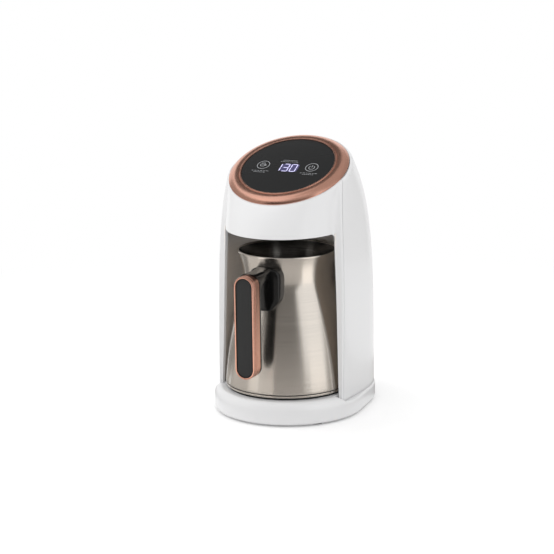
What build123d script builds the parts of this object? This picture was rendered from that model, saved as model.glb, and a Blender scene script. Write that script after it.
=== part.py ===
"""Electric Turkish coffee maker: a heated base with a jug bay, a domed housing with a slanted touch panel,
and a steel jug with an inverted-L handle that pulls out to the front.

Millimetres, +Z up, front towards -Y. Everything is drawn round the jug's axis and moved at the end, so that
the origin lies on the table under the middle of the whole machine.
"""

import os
from math import atan2, cos, degrees, hypot, radians, sin

from build123d import *

# ---- driving dimensions -------------------------------------------------------------------------------

# Jug
JUG_FOOT_R = 48.8          # widest radius, at the foot band
JUG_NECK_R = 34.3          # narrowest radius, where cone and neck meet
JUG_RIM_R = 38.5           # outer radius of the mouth
JUG_HEIGHT = 106.5         # from the foot to the rim
JUG_NECK_HEIGHT = 82.5     # from the foot to the neck
JUG_WALL = 0.9             # sheet steel
JUG_BASE_THICK = 3.2       # sandwich disc under the jug, seen as a band
JUG_LIP_R = 0.9            # half the thickness of the rolled lip
CONE_BELLY = 1.9           # how far the cone swells past a straight line
NECK_WAIST = 1.5           # how far the flared neck lies inside a straight line
JUG_FLOOR = 1.0
JUG_SEAM_R = 0.8           # rounding on each side of the dark seam over the foot band

# Handle
ARM_DROP = 7.4             # top of the arm below the rim
ARM_THICK = 9.0            # arm where it leaves the neck
ARM_WIDTH = 13.0
ARCH_R = 17.0              # round between the arm's underside and the grip
GRIP_REACH = 75.6          # from the jug's axis to the face of the grip
GRIP_LENGTH = 77.7
GRIP_WIDTH = 16.2
GRIP_FRAME = 1.5           # width of the metal frame seen round the insert
GRIP_FRAME_DEPTH = 10.2    # how far the frame wraps the grip's sides
GRIP_CORE_DEPTH = 2.8      # core that stands out behind the frame
INSERT_DEPTH = 2.4
BRACKET_WIDTH = 27.0
BRACKET_DEPTH = 7.0        # how far the bracket stands off the neck
BRACKET_HEIGHT = 33.0
BRACKET_CHAMFER = 7.0

# Base
GROUND_GAP = 1.5           # table to the underside
BASE_HEIGHT = 12.0
BASE_FRONT_R = 58.5
BASE_FRONT_Y = 2.1         # centre of the base's front round
BASE_REAR_R = 56.2
BASE_REAR_Y = 29.6         # centre of the base's rear round
BASE_EDGE_R = 1.8
SHOULDER_RISE = 5.1        # from the base's top up to the jug's seat
SEAT_R = 51.7
PLATE_R = 43.5             # hotplate
PLATE_PROUD = 0.8          # hotplate above the seat
SEAL_WIDTH = 2.2
SEAL_LIP = 1.3
BASE_WALL = 2.4
COVER_THICK = 2.0
COVER_BOSS = 2.0           # extra thickness of the cover round each screw
FOOT_R = 7.0
FOOT_STEM_R = 2.4
FOOT_INSET = 10.3          # middle of a foot inside the base's outline
FOOT_FRONT_TURN = 48.3     # degrees to each side of straight ahead
FOOT_REAR_TURN = 133.0
POST_R = 3.6
POST_INSET = 6.7           # middle of a post inside the base's outline
POST_FRONT_TURN = 28.8
POST_REAR_TURN = 80.0
VENT_WIDTH = 3.0
VENT_PITCH = 8.0
VENT_LENGTH = 24.0
VENT_COUNT = 7
GLAND_R = 4.4              # bushing of the mains cord
GLAND_RISE = 11.0          # bushing's axis above the base
GLAND_FLANGE = 1.4
GLAND_LIP = 1.4            # how far the flanges reach past the bushing
GLAND_BORE_R = 3.1

# Housing
WALL = 2.2
BOSS_R = 4.2               # screw bosses in the rear corners of the housing
BOSS_HEIGHT = 16.0
BOSS_INSET = 5.4           # middle of a boss inside the housing's outline
BOSS_TURN = 116.0
BAY_CLEAR = 0.5            # each side of the jug's foot as it leaves the bay
HOOD_GAP = 14.8            # jug's rim to the hood's lower edge
BAY_CORNER_R = 3.2
STRIP_WIDTH = 3.6          # front strip beside the bay, at the base
STRIP_GROWTH = 3.1         # how much wider the strip is at the rim
SIDE_BULGE = 2.4           # from the crease to the widest place of the side, at the base
SIDE_BULGE_GROWTH = 3.0
CREASE_Y = -16.5           # crease between strip and side, at the base
CREASE_LEAN = 5.0          # how far the crease runs back on its way up
EDGE_SET = 0.6             # strip's inner edge behind the crease, at the base
CREASE_SEAM = 0.5          # joint between front frame and rear housing, behind the crease
EDGE_SINK = 8.8            # how far the hood's edge runs forward of the crease at the rim
BODY_TAPER = 5.8           # half-width lost between base and rim
FRONT_Y = -52.0            # front of the housing's form at the base
REAR_Y = 85.2              # rear of the housing at the base
RIM_FRONT_Y = -36.1
RIM_FRONT_RISE = 23.8      # hood's lower edge to the rim's front
RIM_BACK_Y = 47.3
RIM_BACK_RISE = 67.1       # hood's lower edge to the rim's back
PARTING_GAP = 0.3

# Panel
RING_A = 47.0              # bezel's half-width across
RING_B = 45.3              # bezel's half-length along the slope
RING_LIP = 0.7             # white edge left in front of the bezel
RING_RISE = 4.2
PANEL_A = 36.4
PANEL_THICK = 2.0
PANEL_SINK = 0.5           # panel's face below the bezel's crest
BEZEL_LIP = 1.3            # narrow lip of the bezel round the panel
CARRIER_DEPTH = 11.0
CARRIER_WALL = 1.6
CARRIER_LEDGE = 2.0        # width of the ledge under the panel's edge
BOARD_THICK = 1.6
BOARD_RISE = -5.2          # underside of the control board from the deck's face
PILLAR_REACH = 20.0        # pillars of the control board, each way from the middle
PILLAR_R = 2.5
DISPLAY_W = 24.0
DISPLAY_H = 14.0
DISPLAY_V = -3.5           # middle of the display down the slope
KEY_U = 20.0               # middle of each touch field, to the side
KEY_V = -2.0
KEY_SPRING_R = 4.5
BUZZER_R = 5.0
BUZZER_HEIGHT = 4.0
BUZZER_U = -8.0
BUZZER_V = 14.0
LOOM_WIDTH = 12.0
LOOM_THICK = 0.8
LOOM_V = 25.0              # where the ribbon leaves the board, up the slope
LOOM_SLOT = 6.0            # slot for it in the carrier's floor, down the slope from there

# Bay
LINER_THICK = 0.8
LINER_CLEAR = 1.4          # jug's foot to the liner
LINER_TAPER = 4.0          # half-width lost between base and ceiling
CEILING_SINK = 1.8         # ceiling above the hood's lower edge
CEILING_THICK = 2.0
SENSOR_R = 5.0

# Heater
TRAY_THICK = 1.2
TRAY_RIM = 8.0             # how far the tray reaches under the hotplate's rim
ELEMENT_R = 26.0
ELEMENT_TUBE_R = 3.4
ELEMENT_GAP = 40.0         # degrees left open between the element's ends
THERMOSTAT_R = 8.0
CLAMP_THICK = 1.5
CLAMP_WIDTH = 12.0
FUSE_R = 2.0
FUSE_LENGTH = 14.0

# Electrics
POWER_BOARD_W = 62.0
POWER_BOARD_H = 78.0
BOARD_FOOT = 6.0           # base's top to the board's lower edge
RACK_THICK = 2.0
RACK_FOOT = 10.0
RACK_GAP = 5.0             # bay's wall to the rack
RACK_BORDER = 9.0
PILLAR_INSET = 4.0         # board's edge to the middle of a pillar
RACK_PILLAR_R = 3.0
RELAY_W = 19.0
RELAY_H = 15.0
RELAY_DEPTH = 13.0
CAPACITOR_W = 18.0
CAPACITOR_H = 13.0
CAPACITOR_DEPTH = 8.0
TRANSFORMER_W = 20.0
TRANSFORMER_H = 18.0
TRANSFORMER_DEPTH = 12.0
TERMINAL_W = 30.0
TERMINAL_H = 11.0
TERMINAL_DEPTH = 9.0
TERMINAL_PITCH = 10.0
TERMINAL_BORE_R = 2.2
TERMINAL_ROW = 3.0         # board's lower edge to the foot of each row of parts
TRANSFORMER_ROW = 20.0
RELAY_ROW = 45.0
PART_GAP = 3.0             # between relay and capacitor
LEAD_R = 1.1
LEAD_BEND_R = 2.8
STANDOFF = 4.0
SCREW_R = 1.5
SCREW_HEAD_R = 2.7
SCREW_HEAD = 1.8
HEAD_SINK = 0.4            # screw heads below the cover's face
FIT = 0.15                 # clearance between moulded pieces

# ---- levels and places that follow ----------------------------------------------------------------------

base_top = GROUND_GAP + BASE_HEIGHT
seat_z = base_top + SHOULDER_RISE
plate_z = seat_z + PLATE_PROUD
ceiling_low = base_top - BASE_WALL      # underside of the base's top
seat_low = seat_z - BASE_WALL
rim_z = plate_z + JUG_HEIGHT
neck_z = plate_z + JUG_NECK_HEIGHT
hood_z = rim_z + HOOD_GAP
arm_z = rim_z - ARM_DROP
bay_half = JUG_FOOT_R + BAY_CLEAR
EDGE_TRIM = 0.3            # the bay is cut this far outside the hood's own edge
strip_edge = bay_half - EDGE_TRIM
body_half = strip_edge + STRIP_WIDTH + EDGE_TRIM + SIDE_BULGE
rim_front_z = hood_z + RIM_FRONT_RISE
rim_back_z = hood_z + RIM_BACK_RISE
rim_slope = (rim_back_z - rim_front_z) / (RIM_BACK_Y - RIM_FRONT_Y)
rim_tilt = degrees(atan2(rim_slope, 1))
rim_mid_z = rim_front_z - RIM_FRONT_Y * rim_slope

nodes = {}
UPRIGHT = (Align.CENTER, Align.CENTER, Align.MIN)


def node(name, shape):
    """Keeps a finished piece under its name."""
    nodes[name] = shape


def drum(radius, low, high, x=0.0, y=0.0):
    """Upright cylinder between two heights."""
    return Pos(x, y, low) * Cylinder(radius, high - low, align=UPRIGHT)


def lying_drum(radius, near, far, z, x=0.0):
    """Cylinder along Y between two places."""
    return Pos(x, far, z) * Rot(90, 0, 0) * Cylinder(radius, far - near, align=UPRIGHT)


def slab(x, y, z):
    """Box between pairs of limits."""
    size = (x[1] - x[0], y[1] - y[0], z[1] - z[0])
    return Pos(x[0], y[0], z[0]) * Box(*size, align=(Align.MIN, Align.MIN, Align.MIN))


# ---- the housing's form -------------------------------------------------------------------------------


def front_at(z):
    """Front line of the housing: upright over the bay, leaning back faster towards the rim."""
    share = (z - base_top) / (rim_front_z - base_top)
    return FRONT_Y + (RIM_FRONT_Y - FRONT_Y) * share**5.4


def rear_at(z):
    """Back line of the housing, an egg's curve."""
    share = (z - base_top) / (rim_back_z - base_top)
    return REAR_Y + (RIM_BACK_Y - REAR_Y) * share**4.6


class Station:
    """One section of the housing, in the plane through a height on its front and one on its back."""

    def __init__(self, front_z, back_z):
        self.front, self.rear = front_at(front_z), rear_at(back_z)
        self.slope = (back_z - front_z) / (self.rear - self.front)
        self.mid_z = front_z - self.front * self.slope
        rise = (self.mid_z - base_top) / (rim_mid_z - base_top)
        self.half = body_half - BODY_TAPER * rise**3
        crease_x = self.half - SIDE_BULGE - SIDE_BULGE_GROWTH * rise**8
        crease_y = CREASE_Y + CREASE_LEAN * rise
        self.crease = (crease_x, crease_y)
        strip = STRIP_WIDTH + EDGE_TRIM + STRIP_GROWTH * rise**2
        self.edge = (crease_x - strip, crease_y + EDGE_SET - EDGE_SINK * rise**4)

    def point(self, x, y):
        return (x, y, self.mid_z + y * self.slope)

    def outline(self, inset):
        """Closed outline: hood's arc, strip, one curve round sides and back, strip."""
        half, rear = self.half - inset, self.rear - inset
        edge_x, edge_y = self.edge[0] - 0.8 * inset, self.edge[1] + 0.73 * inset
        crease_x, crease_y = self.crease[0] - 0.94 * inset, self.crease[1] + 0.67 * inset
        turn = rear - half * cos(atan2(self.slope, 1))
        side = (crease_x + 0.75 * (half - crease_x), (crease_y + turn) / 2)
        round_45 = (half * sin(radians(45)), turn + (rear - turn) * sin(radians(45)))
        right = [(crease_x, crease_y), side, (half, turn), round_45]
        left = [(-x, y) for x, y in reversed(right)]
        back = [self.point(x, y) for x, y in right + [(0, rear)] + left]
        edge_right, edge_left = self.point(edge_x, edge_y), self.point(-edge_x, edge_y)
        arc = ThreePointArc(edge_left, self.point(0, self.front + inset), edge_right)
        return Wire([arc, Line(edge_right, back[0]), Spline(back), Line(back[-1], edge_left)])


def station_at(share):
    """Section at a share of the way up: level at the base, tilting towards the slant of the rim."""
    front_z = base_top + (rim_front_z - base_top) * share
    return Station(front_z, front_z + (rim_back_z - rim_front_z) * share**6)


shares = [1 - (1 - k / 7) ** 1.35 for k in range(8)]
stations = [station_at(share) for share in shares]


def housing_form(inset=0.0):
    """Solid of the whole housing, its walls moved in by inset."""
    return Solid.make_loft([s.outline(inset) for s in stations])


rim_dir = (0, cos(radians(rim_tilt)), sin(radians(rim_tilt)))
ring_run = RING_B + RING_LIP
ring_centre = (0, RIM_FRONT_Y + ring_run * rim_dir[1], rim_front_z + ring_run * rim_dir[2])
panel_plane = Plane(origin=ring_centre, x_dir=(1, 0, 0), z_dir=(0, -rim_dir[2], rim_dir[1]))
squeeze = RING_B / RING_A


def on_panel(shape):
    """Puts a shape drawn flat, round the panel's middle, onto the slanted rim."""
    return panel_plane.location * shape


def oval(radius_a, low, high):
    """Upright oval block of the panel's proportions, in the panel's own frame."""
    return Pos(0, 0, low) * extrude(Ellipse(radius_a, radius_a * squeeze), high - low)


parting_slope = CREASE_LEAN / (rim_mid_z - base_top)
parting_y = CREASE_Y + CREASE_SEAM
parting_plane = Plane(origin=(0, parting_y, base_top), x_dir=(1, 0, 0), z_dir=(0, 1, -parting_slope))


def round_place(centre_y, radius, turn):
    """Place on a circle round (0, centre_y), turned away from straight ahead."""
    return (radius * sin(radians(turn)), centre_y - radius * cos(radians(turn)))


def both_sides(place):
    x, y = place
    return [(-x, y), (x, y)]


boss_places = both_sides(round_place(REAR_Y - body_half, body_half - BOSS_INSET, BOSS_TURN))


def make_housing():
    """Front frame and rear housing: one hollow form, closed by the panel's deck, split at the crease."""
    deck = on_panel(Pos(0, 0, -WALL) * Box(4 * RING_A, 4 * RING_A, 8 * WALL, align=UPRIGHT))
    hollow = housing_form(WALL) - deck
    well = on_panel(oval(well_a, -3 * WALL, 3 * WALL))
    shell = housing_form() - hollow - well
    for x, y in boss_places:
        shell += drum(BOSS_R, base_top, base_top + BOSS_HEIGHT, x, y)
        shell -= drum(SCREW_R, 0, base_top + BOSS_HEIGHT - 2, x, y)
    front = split(shell, bisect_by=parting_plane, keep=Keep.BOTTOM)
    rear = split(shell, bisect_by=parting_plane.offset(PARTING_GAP), keep=Keep.TOP)
    bay = bay_cutter()
    return front - bay - shoulder(FIT), rear - bay - gland_bore(GLAND_R + FIT)


def bay_cutter():
    """Prism that opens the bay: it follows the hood's edge lines and has rounded upper corners."""
    places = [s.point(*s.edge) for s in stations]
    edges = [(x + EDGE_TRIM, z) for x, y, z in places if z < hood_z - BAY_CORNER_R]
    low_x, (near_x, near_z) = edges[0][0], edges[-1]
    lean = (near_x - edges[-2][0]) / (near_z - edges[-2][1])
    corner_x = near_x + lean * (hood_z - near_z)
    side = Spline(edges, tangents=((0, 1), (lean, 1)))
    tip = Line((near_x, near_z), (corner_x, hood_z))
    top = Line((corner_x, hood_z), (-corner_x, hood_z))
    foot = Polyline((-low_x, base_top), (-low_x, 0), (low_x, 0), (low_x, base_top))
    face = make_face([foot, side, tip, top, mirror(tip, Plane.YZ), mirror(side, Plane.YZ)])
    face = fillet(face.vertices().group_by(Axis.Y)[-1], BAY_CORNER_R)
    return Pos(0, CREASE_Y + CREASE_LEAN, 0) * extrude(Plane.XZ * face, -FRONT_Y + WALL)


# ---- places of the power board and of the leads under it ------------------------------------------------

rack_y = JUG_FOOT_R + LINER_CLEAR + LINER_THICK + RACK_GAP
board_y = rack_y + RACK_THICK + STANDOFF
board_face = board_y + BOARD_THICK
board_z = base_top + BOARD_FOOT
board_high_z = board_z + POWER_BOARD_H
terminal_low = board_z + TERMINAL_ROW
lead_places = both_sides((ELEMENT_R * sin(radians(ELEMENT_GAP / 2)), board_face + TERMINAL_DEPTH / 2))

# ---- base -----------------------------------------------------------------------------------------------


def shoulder(grow=0.0):
    """Front shoulder of the base: the skirt's wall turns over, like a quarter of an ellipse, to the seat."""
    sections = []
    foot_z = base_top - BASE_EDGE_R
    for angle in (0, 30, 60, 90):
        share = 1 - cos(radians(angle))
        radius = BASE_FRONT_R + (SEAT_R - BASE_FRONT_R) * share + grow
        z = foot_z + (seat_z - foot_z) * sin(radians(angle)) + grow
        centre_y = BASE_FRONT_Y * (1 - share)
        left, right = (-radius, centre_y, z), (radius, centre_y, z)
        arc = ThreePointArc(left, (0, centre_y - radius, z), right)
        sections.append(Wire([arc, Line(right, left)]))
    reach = 2 * BASE_FRONT_R
    return Solid.make_loft(sections) - slab((-reach, reach), (parting_y, reach), (0, 2 * seat_z))


def base_plan(inset=0.0):
    """Flat outline of the base: two rounds of different size, joined by their tangents."""
    front_r, rear_r = BASE_FRONT_R - inset, BASE_REAR_R - inset
    lean = (BASE_FRONT_R - BASE_REAR_R) / (BASE_REAR_Y - BASE_FRONT_Y)
    across = (1 - lean**2) ** 0.5
    front = (front_r * across, BASE_FRONT_Y + front_r * lean)
    rear = (rear_r * across, BASE_REAR_Y + rear_r * lean)
    front_left, rear_left = (-front[0], front[1]), (-rear[0], rear[1])
    return make_face(
        [
            ThreePointArc(front_left, (0, BASE_FRONT_Y - front_r), front),
            Line(front, rear),
            ThreePointArc(rear, (0, BASE_REAR_Y + rear_r), rear_left),
            Line(rear_left, front_left),
        ]
    )


foot_front_r, foot_rear_r = BASE_FRONT_R - FOOT_INSET, BASE_REAR_R - FOOT_INSET
post_front_r, post_rear_r = BASE_FRONT_R - POST_INSET, BASE_REAR_R - POST_INSET
feet_places = both_sides(round_place(BASE_FRONT_Y, foot_front_r, FOOT_FRONT_TURN))
feet_places += both_sides(round_place(BASE_REAR_Y, foot_rear_r, FOOT_REAR_TURN))
post_places = both_sides(round_place(BASE_FRONT_Y, post_front_r, POST_FRONT_TURN))
post_places += both_sides(round_place(BASE_REAR_Y, post_rear_r, POST_REAR_TURN))
hole_r = PLATE_R + SEAL_WIDTH
cover_low, cover_high = GROUND_GAP, GROUND_GAP + COVER_THICK


def make_base():
    """Base moulding: skirt, front shoulder and jug seat, open underneath, with posts for the cover."""
    block = Pos(0, 0, GROUND_GAP) * extrude(base_plan(), BASE_HEIGHT)
    block = fillet(block.edges().group_by(Axis.Z)[0] + block.edges().group_by(Axis.Z)[-1], BASE_EDGE_R)
    seat_disc_r = liner_r(seat_z) - FIT
    base = block + shoulder() + drum(seat_disc_r, ceiling_low, seat_z)
    base -= Pos(0, 0, GROUND_GAP) * extrude(base_plan(BASE_WALL), BASE_HEIGHT - BASE_WALL)
    base -= drum(seat_disc_r - BASE_WALL, GROUND_GAP, seat_low)
    base -= drum(hole_r + FIT, GROUND_GAP, plate_z)
    for x, y in post_places:
        base += drum(POST_R, cover_high + COVER_BOSS, ceiling_low, x, y)
        base -= drum(SCREW_R + FIT, cover_high, ceiling_low, x, y)
    for x, y in boss_places:
        base -= drum(SCREW_R + FIT, ceiling_low, base_top, x, y)
    for x, y in lead_places:
        base -= drum(LEAD_R + FIT, ceiling_low, base_top, x, y)
    for x, y in rack_screw_places:
        base -= drum(SCREW_R, base_top - BASE_WALL / 2, base_top, x, y)
    return base


def make_base_cover():
    """Flat cover under the base, with sunk screw wells and holes for the stems of the feet."""
    cover = Pos(0, 0, cover_low) * extrude(base_plan(BASE_WALL + FIT), COVER_THICK)
    for x, y in post_places:
        cover += drum(POST_R, cover_low, cover_high + COVER_BOSS - FIT, x, y)
        cover -= drum(SCREW_HEAD_R + FIT, 0, cover_low + SCREW_HEAD + HEAD_SINK, x, y)
        cover -= drum(SCREW_R + FIT, 0, seat_z, x, y)
    for x, y in feet_places:
        cover -= drum(FOOT_STEM_R, 0, seat_z, x, y)
    vent = slab((-VENT_WIDTH / 2, VENT_WIDTH / 2), (-VENT_LENGTH / 2, VENT_LENGTH / 2), (0, seat_z))
    for k in range(VENT_COUNT):
        cover -= Pos(VENT_PITCH * (k - (VENT_COUNT - 1) / 2), 0, 0) * vent
    return cover


def make_feet():
    """Rubber feet: a tapered pad and a stem with a barb that snaps through the cover."""
    feet = []
    for x, y in feet_places:
        pad = Pos(x, y, 0) * Cone(FOOT_R - 0.8, FOOT_R, GROUND_GAP, align=UPRIGHT)
        barb = Pos(x, y, cover_high) * Cone(FOOT_STEM_R + 0.7, FOOT_STEM_R - 0.6, 1.8, align=UPRIGHT)
        feet.append(pad + drum(FOOT_STEM_R, 0.2, cover_high + 0.5, x, y) + barb)
    return Compound(feet)


def make_base_screws():
    """Four screws that hold the cover to the base's posts, heads up in their wells."""
    screws = []
    head_high = cover_low + SCREW_HEAD + HEAD_SINK
    for x, y in post_places:
        head = drum(SCREW_HEAD_R, head_high - SCREW_HEAD, head_high, x, y)
        screws.append(head + drum(SCREW_R, head_high, ceiling_low - 1.0, x, y))
    return Compound(screws)


def make_housing_screws():
    """Two screws up through the base's top into the housing's bosses."""
    screws = []
    for x, y in boss_places:
        head = drum(SCREW_HEAD_R, ceiling_low - SCREW_HEAD, ceiling_low, x, y)
        screws.append(head + drum(SCREW_R - FIT, ceiling_low, base_top + BOSS_HEIGHT - 5, x, y))
    return Compound(screws)


def make_hotplate():
    """Heated disc, a little proud of the seat, with a softened edge."""
    plate = drum(PLATE_R, seat_low, plate_z)
    return fillet(plate.edges().sort_by(Axis.Z)[-1], 0.7)


def make_hotplate_seal():
    """Silicone ring between hotplate and seat, with a lip that lies on the seat."""
    ring = drum(hole_r, seat_low, seat_z) + drum(hole_r + SEAL_LIP, seat_z, seat_z + PLATE_PROUD / 2)
    return ring - drum(PLATE_R + 0.05, 0, plate_z)


def make_heater_tray():
    """Pressed ring under the seat that carries the hotplate's rim and the seal."""
    tray = drum(hole_r + 1.0, seat_low - TRAY_THICK, seat_low)
    return tray - drum(PLATE_R - TRAY_RIM, 0, plate_z)


def make_element():
    """Tubular heating element: most of a ring under the hotplate, open towards the back."""
    z = seat_low - ELEMENT_TUBE_R - 0.05
    ring = revolve(Plane.XZ * Pos(ELEMENT_R, z) * Circle(ELEMENT_TUBE_R), Axis.Z, 360 - ELEMENT_GAP)
    return Rot(0, 0, 90 + ELEMENT_GAP / 2) * ring


clamp_high = seat_low - 2 * ELEMENT_TUBE_R - 0.1


def make_heater_leads():
    """Two leads from under the terminal block, down through the base's top and on to the element's ends."""
    leads = []
    low_z = clamp_high - LEAD_R
    end_y = ELEMENT_R * cos(radians(ELEMENT_GAP / 2))
    for x, y in lead_places:
        corners = [(x, y, terminal_low), (x, y, low_z), (x, end_y, low_z)]
        path = FilletPolyline(*corners, radius=LEAD_BEND_R)
        leads.append(sweep(Pos(x, y, terminal_low) * Circle(LEAD_R), path=path))
    return Compound(leads)


def make_clamp():
    """Steel strap under the element, its ends bent up to the tray."""
    reach = PLATE_R - TRAY_RIM + 4.0
    low = clamp_high - CLAMP_THICK
    half = CLAMP_WIDTH / 2
    strap = slab((-reach, reach), (-half, half), (low, clamp_high))
    for side in (-1, 1):
        x = sorted((side * reach, side * (reach - CLAMP_THICK)))
        strap += slab(x, (-half, half), (low, seat_low - TRAY_THICK))
    return strap


def make_thermostat():
    """Disc thermostat pressed against the middle of the hotplate by the strap, with two blades."""
    can = drum(THERMOSTAT_R, clamp_high, seat_low)
    can += drum(THERMOSTAT_R + 1.5, seat_low - 1.0, seat_low)
    blade_y = (THERMOSTAT_R - 2, THERMOSTAT_R + 6)
    for x in (-4, 4):
        can += slab((x - 3, x + 3), blade_y, (clamp_high + 1, clamp_high + 1.8))
    return can


def make_fuse():
    """Thermal fuse lying against the hotplate, beside the thermostat."""
    lying = Rot(0, 90, 0) * Cylinder(FUSE_R, FUSE_LENGTH)
    return Pos(0, -THERMOSTAT_R - 3 * FUSE_R, seat_low - FUSE_R - 0.05) * lying


gland_z = base_top + GLAND_RISE


def gland_bore(radius):
    """Round cutter on the gland's axis."""
    return lying_drum(radius, REAR_Y - 5 * WALL, REAR_Y + 5 * WALL, gland_z)


def make_gland(rear_housing):
    """Flanged bushing in the rear wall that the mains cord enters by."""
    flange_r = GLAND_R + GLAND_LIP
    patch = rear_housing & gland_bore(flange_r)
    near, far = patch.bounding_box().min.Y - FIT, patch.bounding_box().max.Y + FIT
    bush = lying_drum(GLAND_R, near, far, gland_z)
    bush += lying_drum(flange_r, far, far + GLAND_FLANGE, gland_z)
    bush += lying_drum(flange_r, near - GLAND_FLANGE, near, gland_z)
    return bush - gland_bore(GLAND_BORE_R)


# ---- bay ------------------------------------------------------------------------------------------------

ceiling_z = hood_z + CEILING_SINK


def liner_r(z):
    """Half-width of the bay between its walls, which draw in towards the ceiling."""
    return JUG_FOOT_R + LINER_CLEAR - LINER_TAPER * (z - base_top) / (ceiling_z - base_top)


def liner_form(grow, front_gap):
    """U-shaped block round the bay: half-round at the back, its sides ending behind the front frame."""

    def plan(z):
        half = liner_r(z) + grow
        nose_x = half - LINER_CLEAR / 2
        nose_y = parting_y + parting_slope * (z - base_top) + WALL + front_gap
        arc = ThreePointArc((half, 0, z), (0, half, z), (-half, 0, z))
        legs = Polyline((-half, 0, z), (-nose_x, nose_y, z), (nose_x, nose_y, z), (half, 0, z))
        return Wire([arc] + list(legs.edges()))

    return Solid.make_loft([plan(base_top), plan(ceiling_z)], True)


def make_liner():
    """Sheet-steel wall round the jug, from the base to the ceiling, open to the front."""
    return liner_form(LINER_THICK, 0.0) - liner_form(0.0, -WALL)


def make_ceiling():
    """Black plate that closes the bay above the jug, with a collar for the foam sensor."""
    high = ceiling_z + CEILING_THICK
    plan = make_face(Station(high, high).outline(WALL + 2 * FIT).edges())
    plate = extrude(plan, -CEILING_THICK) - slab((-90, 90), (JUG_FOOT_R + LINER_CLEAR, 120), (0, 300))
    plate += drum(SENSOR_R + 2.5, ceiling_z, high + 4)
    return plate - drum(SENSOR_R + FIT, 0, 300)


def make_sensor():
    """Foam sensor: a lens in the ceiling over the middle of the jug, held by its flange."""
    collar_high = ceiling_z + CEILING_THICK + 4
    lens = drum(SENSOR_R, ceiling_z - 1.2, collar_high)
    lens = fillet(lens.edges().sort_by(Axis.Z)[0], 0.8)
    return lens + drum(SENSOR_R + 2.5, collar_high, collar_high + 1.5)


# ---- panel ----------------------------------------------------------------------------------------------

well_a = PANEL_A + 5.0
panel_face = RING_RISE - PANEL_SINK
panel_low = panel_face - PANEL_THICK
crest_r = PANEL_A + BEZEL_LIP + FIT


def make_bezel():
    """Metal bezel: a narrow lip round the panel, a fine groove, and a broad convex band outside it."""
    inner, underside = PANEL_A + FIT, panel_low + 2 * FIT
    band_top = (crest_r + 0.5, RING_RISE - 0.3)
    belly = (crest_r + 5.6, RING_RISE - 1.1)
    profile = make_face(
        [
            Polyline((inner, underside), (inner, RING_RISE - 0.25), (inner + 0.25, RING_RISE)),
            Polyline((inner + 0.25, RING_RISE), (crest_r, RING_RISE)),
            Polyline((crest_r, RING_RISE), (crest_r + 0.2, RING_RISE - 0.55), band_top),
            ThreePointArc(band_top, belly, (RING_A, 0.5)),
            Polyline((RING_A, 0.5), (RING_A, 0), (RING_A - 1.6, 0), (well_a + 1.8, underside)),
            Line((well_a + 1.8, underside), (inner, underside)),
        ]
    )
    return on_panel(scale(revolve(Plane.XZ * profile, Axis.Z), by=(1, squeeze, 1)))


def make_panel():
    """Black touch panel, flush inside the bezel's lip."""
    return on_panel(oval(PANEL_A, panel_low, panel_face))


def make_panel_carrier():
    """Tray under the panel: flange on the deck, ledge for the panel, cup and pillars for the board."""
    tray = oval(well_a + 1.2, 0, 1.0) + oval(well_a - FIT, -CARRIER_DEPTH, 1.0)
    tray += oval(PANEL_A + 1.2, 0, panel_low)
    tray -= oval(well_a - FIT - CARRIER_WALL, CARRIER_WALL - CARRIER_DEPTH, -CARRIER_WALL)
    tray -= oval(PANEL_A - CARRIER_LEDGE, CARRIER_WALL - CARRIER_DEPTH, panel_face)
    for u in (-PILLAR_REACH, PILLAR_REACH):
        for v in (-PILLAR_REACH, PILLAR_REACH):
            tray += Pos(u, v, 0) * drum(PILLAR_R, -CARRIER_DEPTH, BOARD_RISE)
    slot_half = LOOM_WIDTH / 2 + FIT
    slot_v = (LOOM_V - LOOM_SLOT, LOOM_V + 2 * LOOM_THICK)
    tray -= slab((-slot_half, slot_half), slot_v, (-2 * CARRIER_DEPTH, -WALL))
    return on_panel(tray)


board_high = BOARD_RISE + BOARD_THICK


def make_panel_bits():
    """Board, display, touch springs and buzzer between the panel and its tray."""
    node("control_board", on_panel(oval(PANEL_A - CARRIER_LEDGE - 1.5, BOARD_RISE, board_high)))
    display_v = (DISPLAY_V - DISPLAY_H / 2, DISPLAY_V + DISPLAY_H / 2)
    display = slab((-DISPLAY_W / 2, DISPLAY_W / 2), display_v, (board_high, panel_low))
    node("display_module", on_panel(display))
    spring = drum(KEY_SPRING_R, board_high, panel_low)
    node("touch_springs", Compound([on_panel(Pos(u, KEY_V, 0) * spring) for u in (-KEY_U, KEY_U)]))
    buzzer = drum(BUZZER_R, BOARD_RISE - BUZZER_HEIGHT, BOARD_RISE, BUZZER_U, BUZZER_V)
    node("buzzer", on_panel(buzzer))


# ---- power electronics ------------------------------------------------------------------------------------

pillar_x = POWER_BOARD_W / 2 - PILLAR_INSET
pillar_levels = (board_z + PILLAR_INSET, board_high_z - PILLAR_INSET)
pillar_places = [(x, z) for x in (-pillar_x, pillar_x) for z in pillar_levels]
rack_screw_places = both_sides((POWER_BOARD_W / 2 - RACK_FOOT, rack_y + 0.6 * RACK_FOOT))


def make_rack():
    """Plastic rack that stands on the base behind the bay and carries the power board on four pillars."""
    half = POWER_BOARD_W / 2
    rack = slab((-half, half), (rack_y, rack_y + RACK_THICK), (base_top, board_high_z))
    rack += slab((-half, half), (rack_y, rack_y + RACK_FOOT), (base_top, base_top + RACK_THICK))
    window = (board_z + RACK_BORDER, board_high_z - RACK_BORDER)
    rack -= slab((RACK_BORDER - half, half - RACK_BORDER), (0, 2 * rack_y), window)
    for x, z in pillar_places:
        rack += lying_drum(RACK_PILLAR_R, rack_y, board_y, z, x)
        rack -= lying_drum(SCREW_R, rack_y + RACK_THICK, board_y, z, x)
    for x, y in rack_screw_places:
        rack -= drum(SCREW_R + FIT, base_top, base_top + RACK_THICK, x, y)
    return rack


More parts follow.
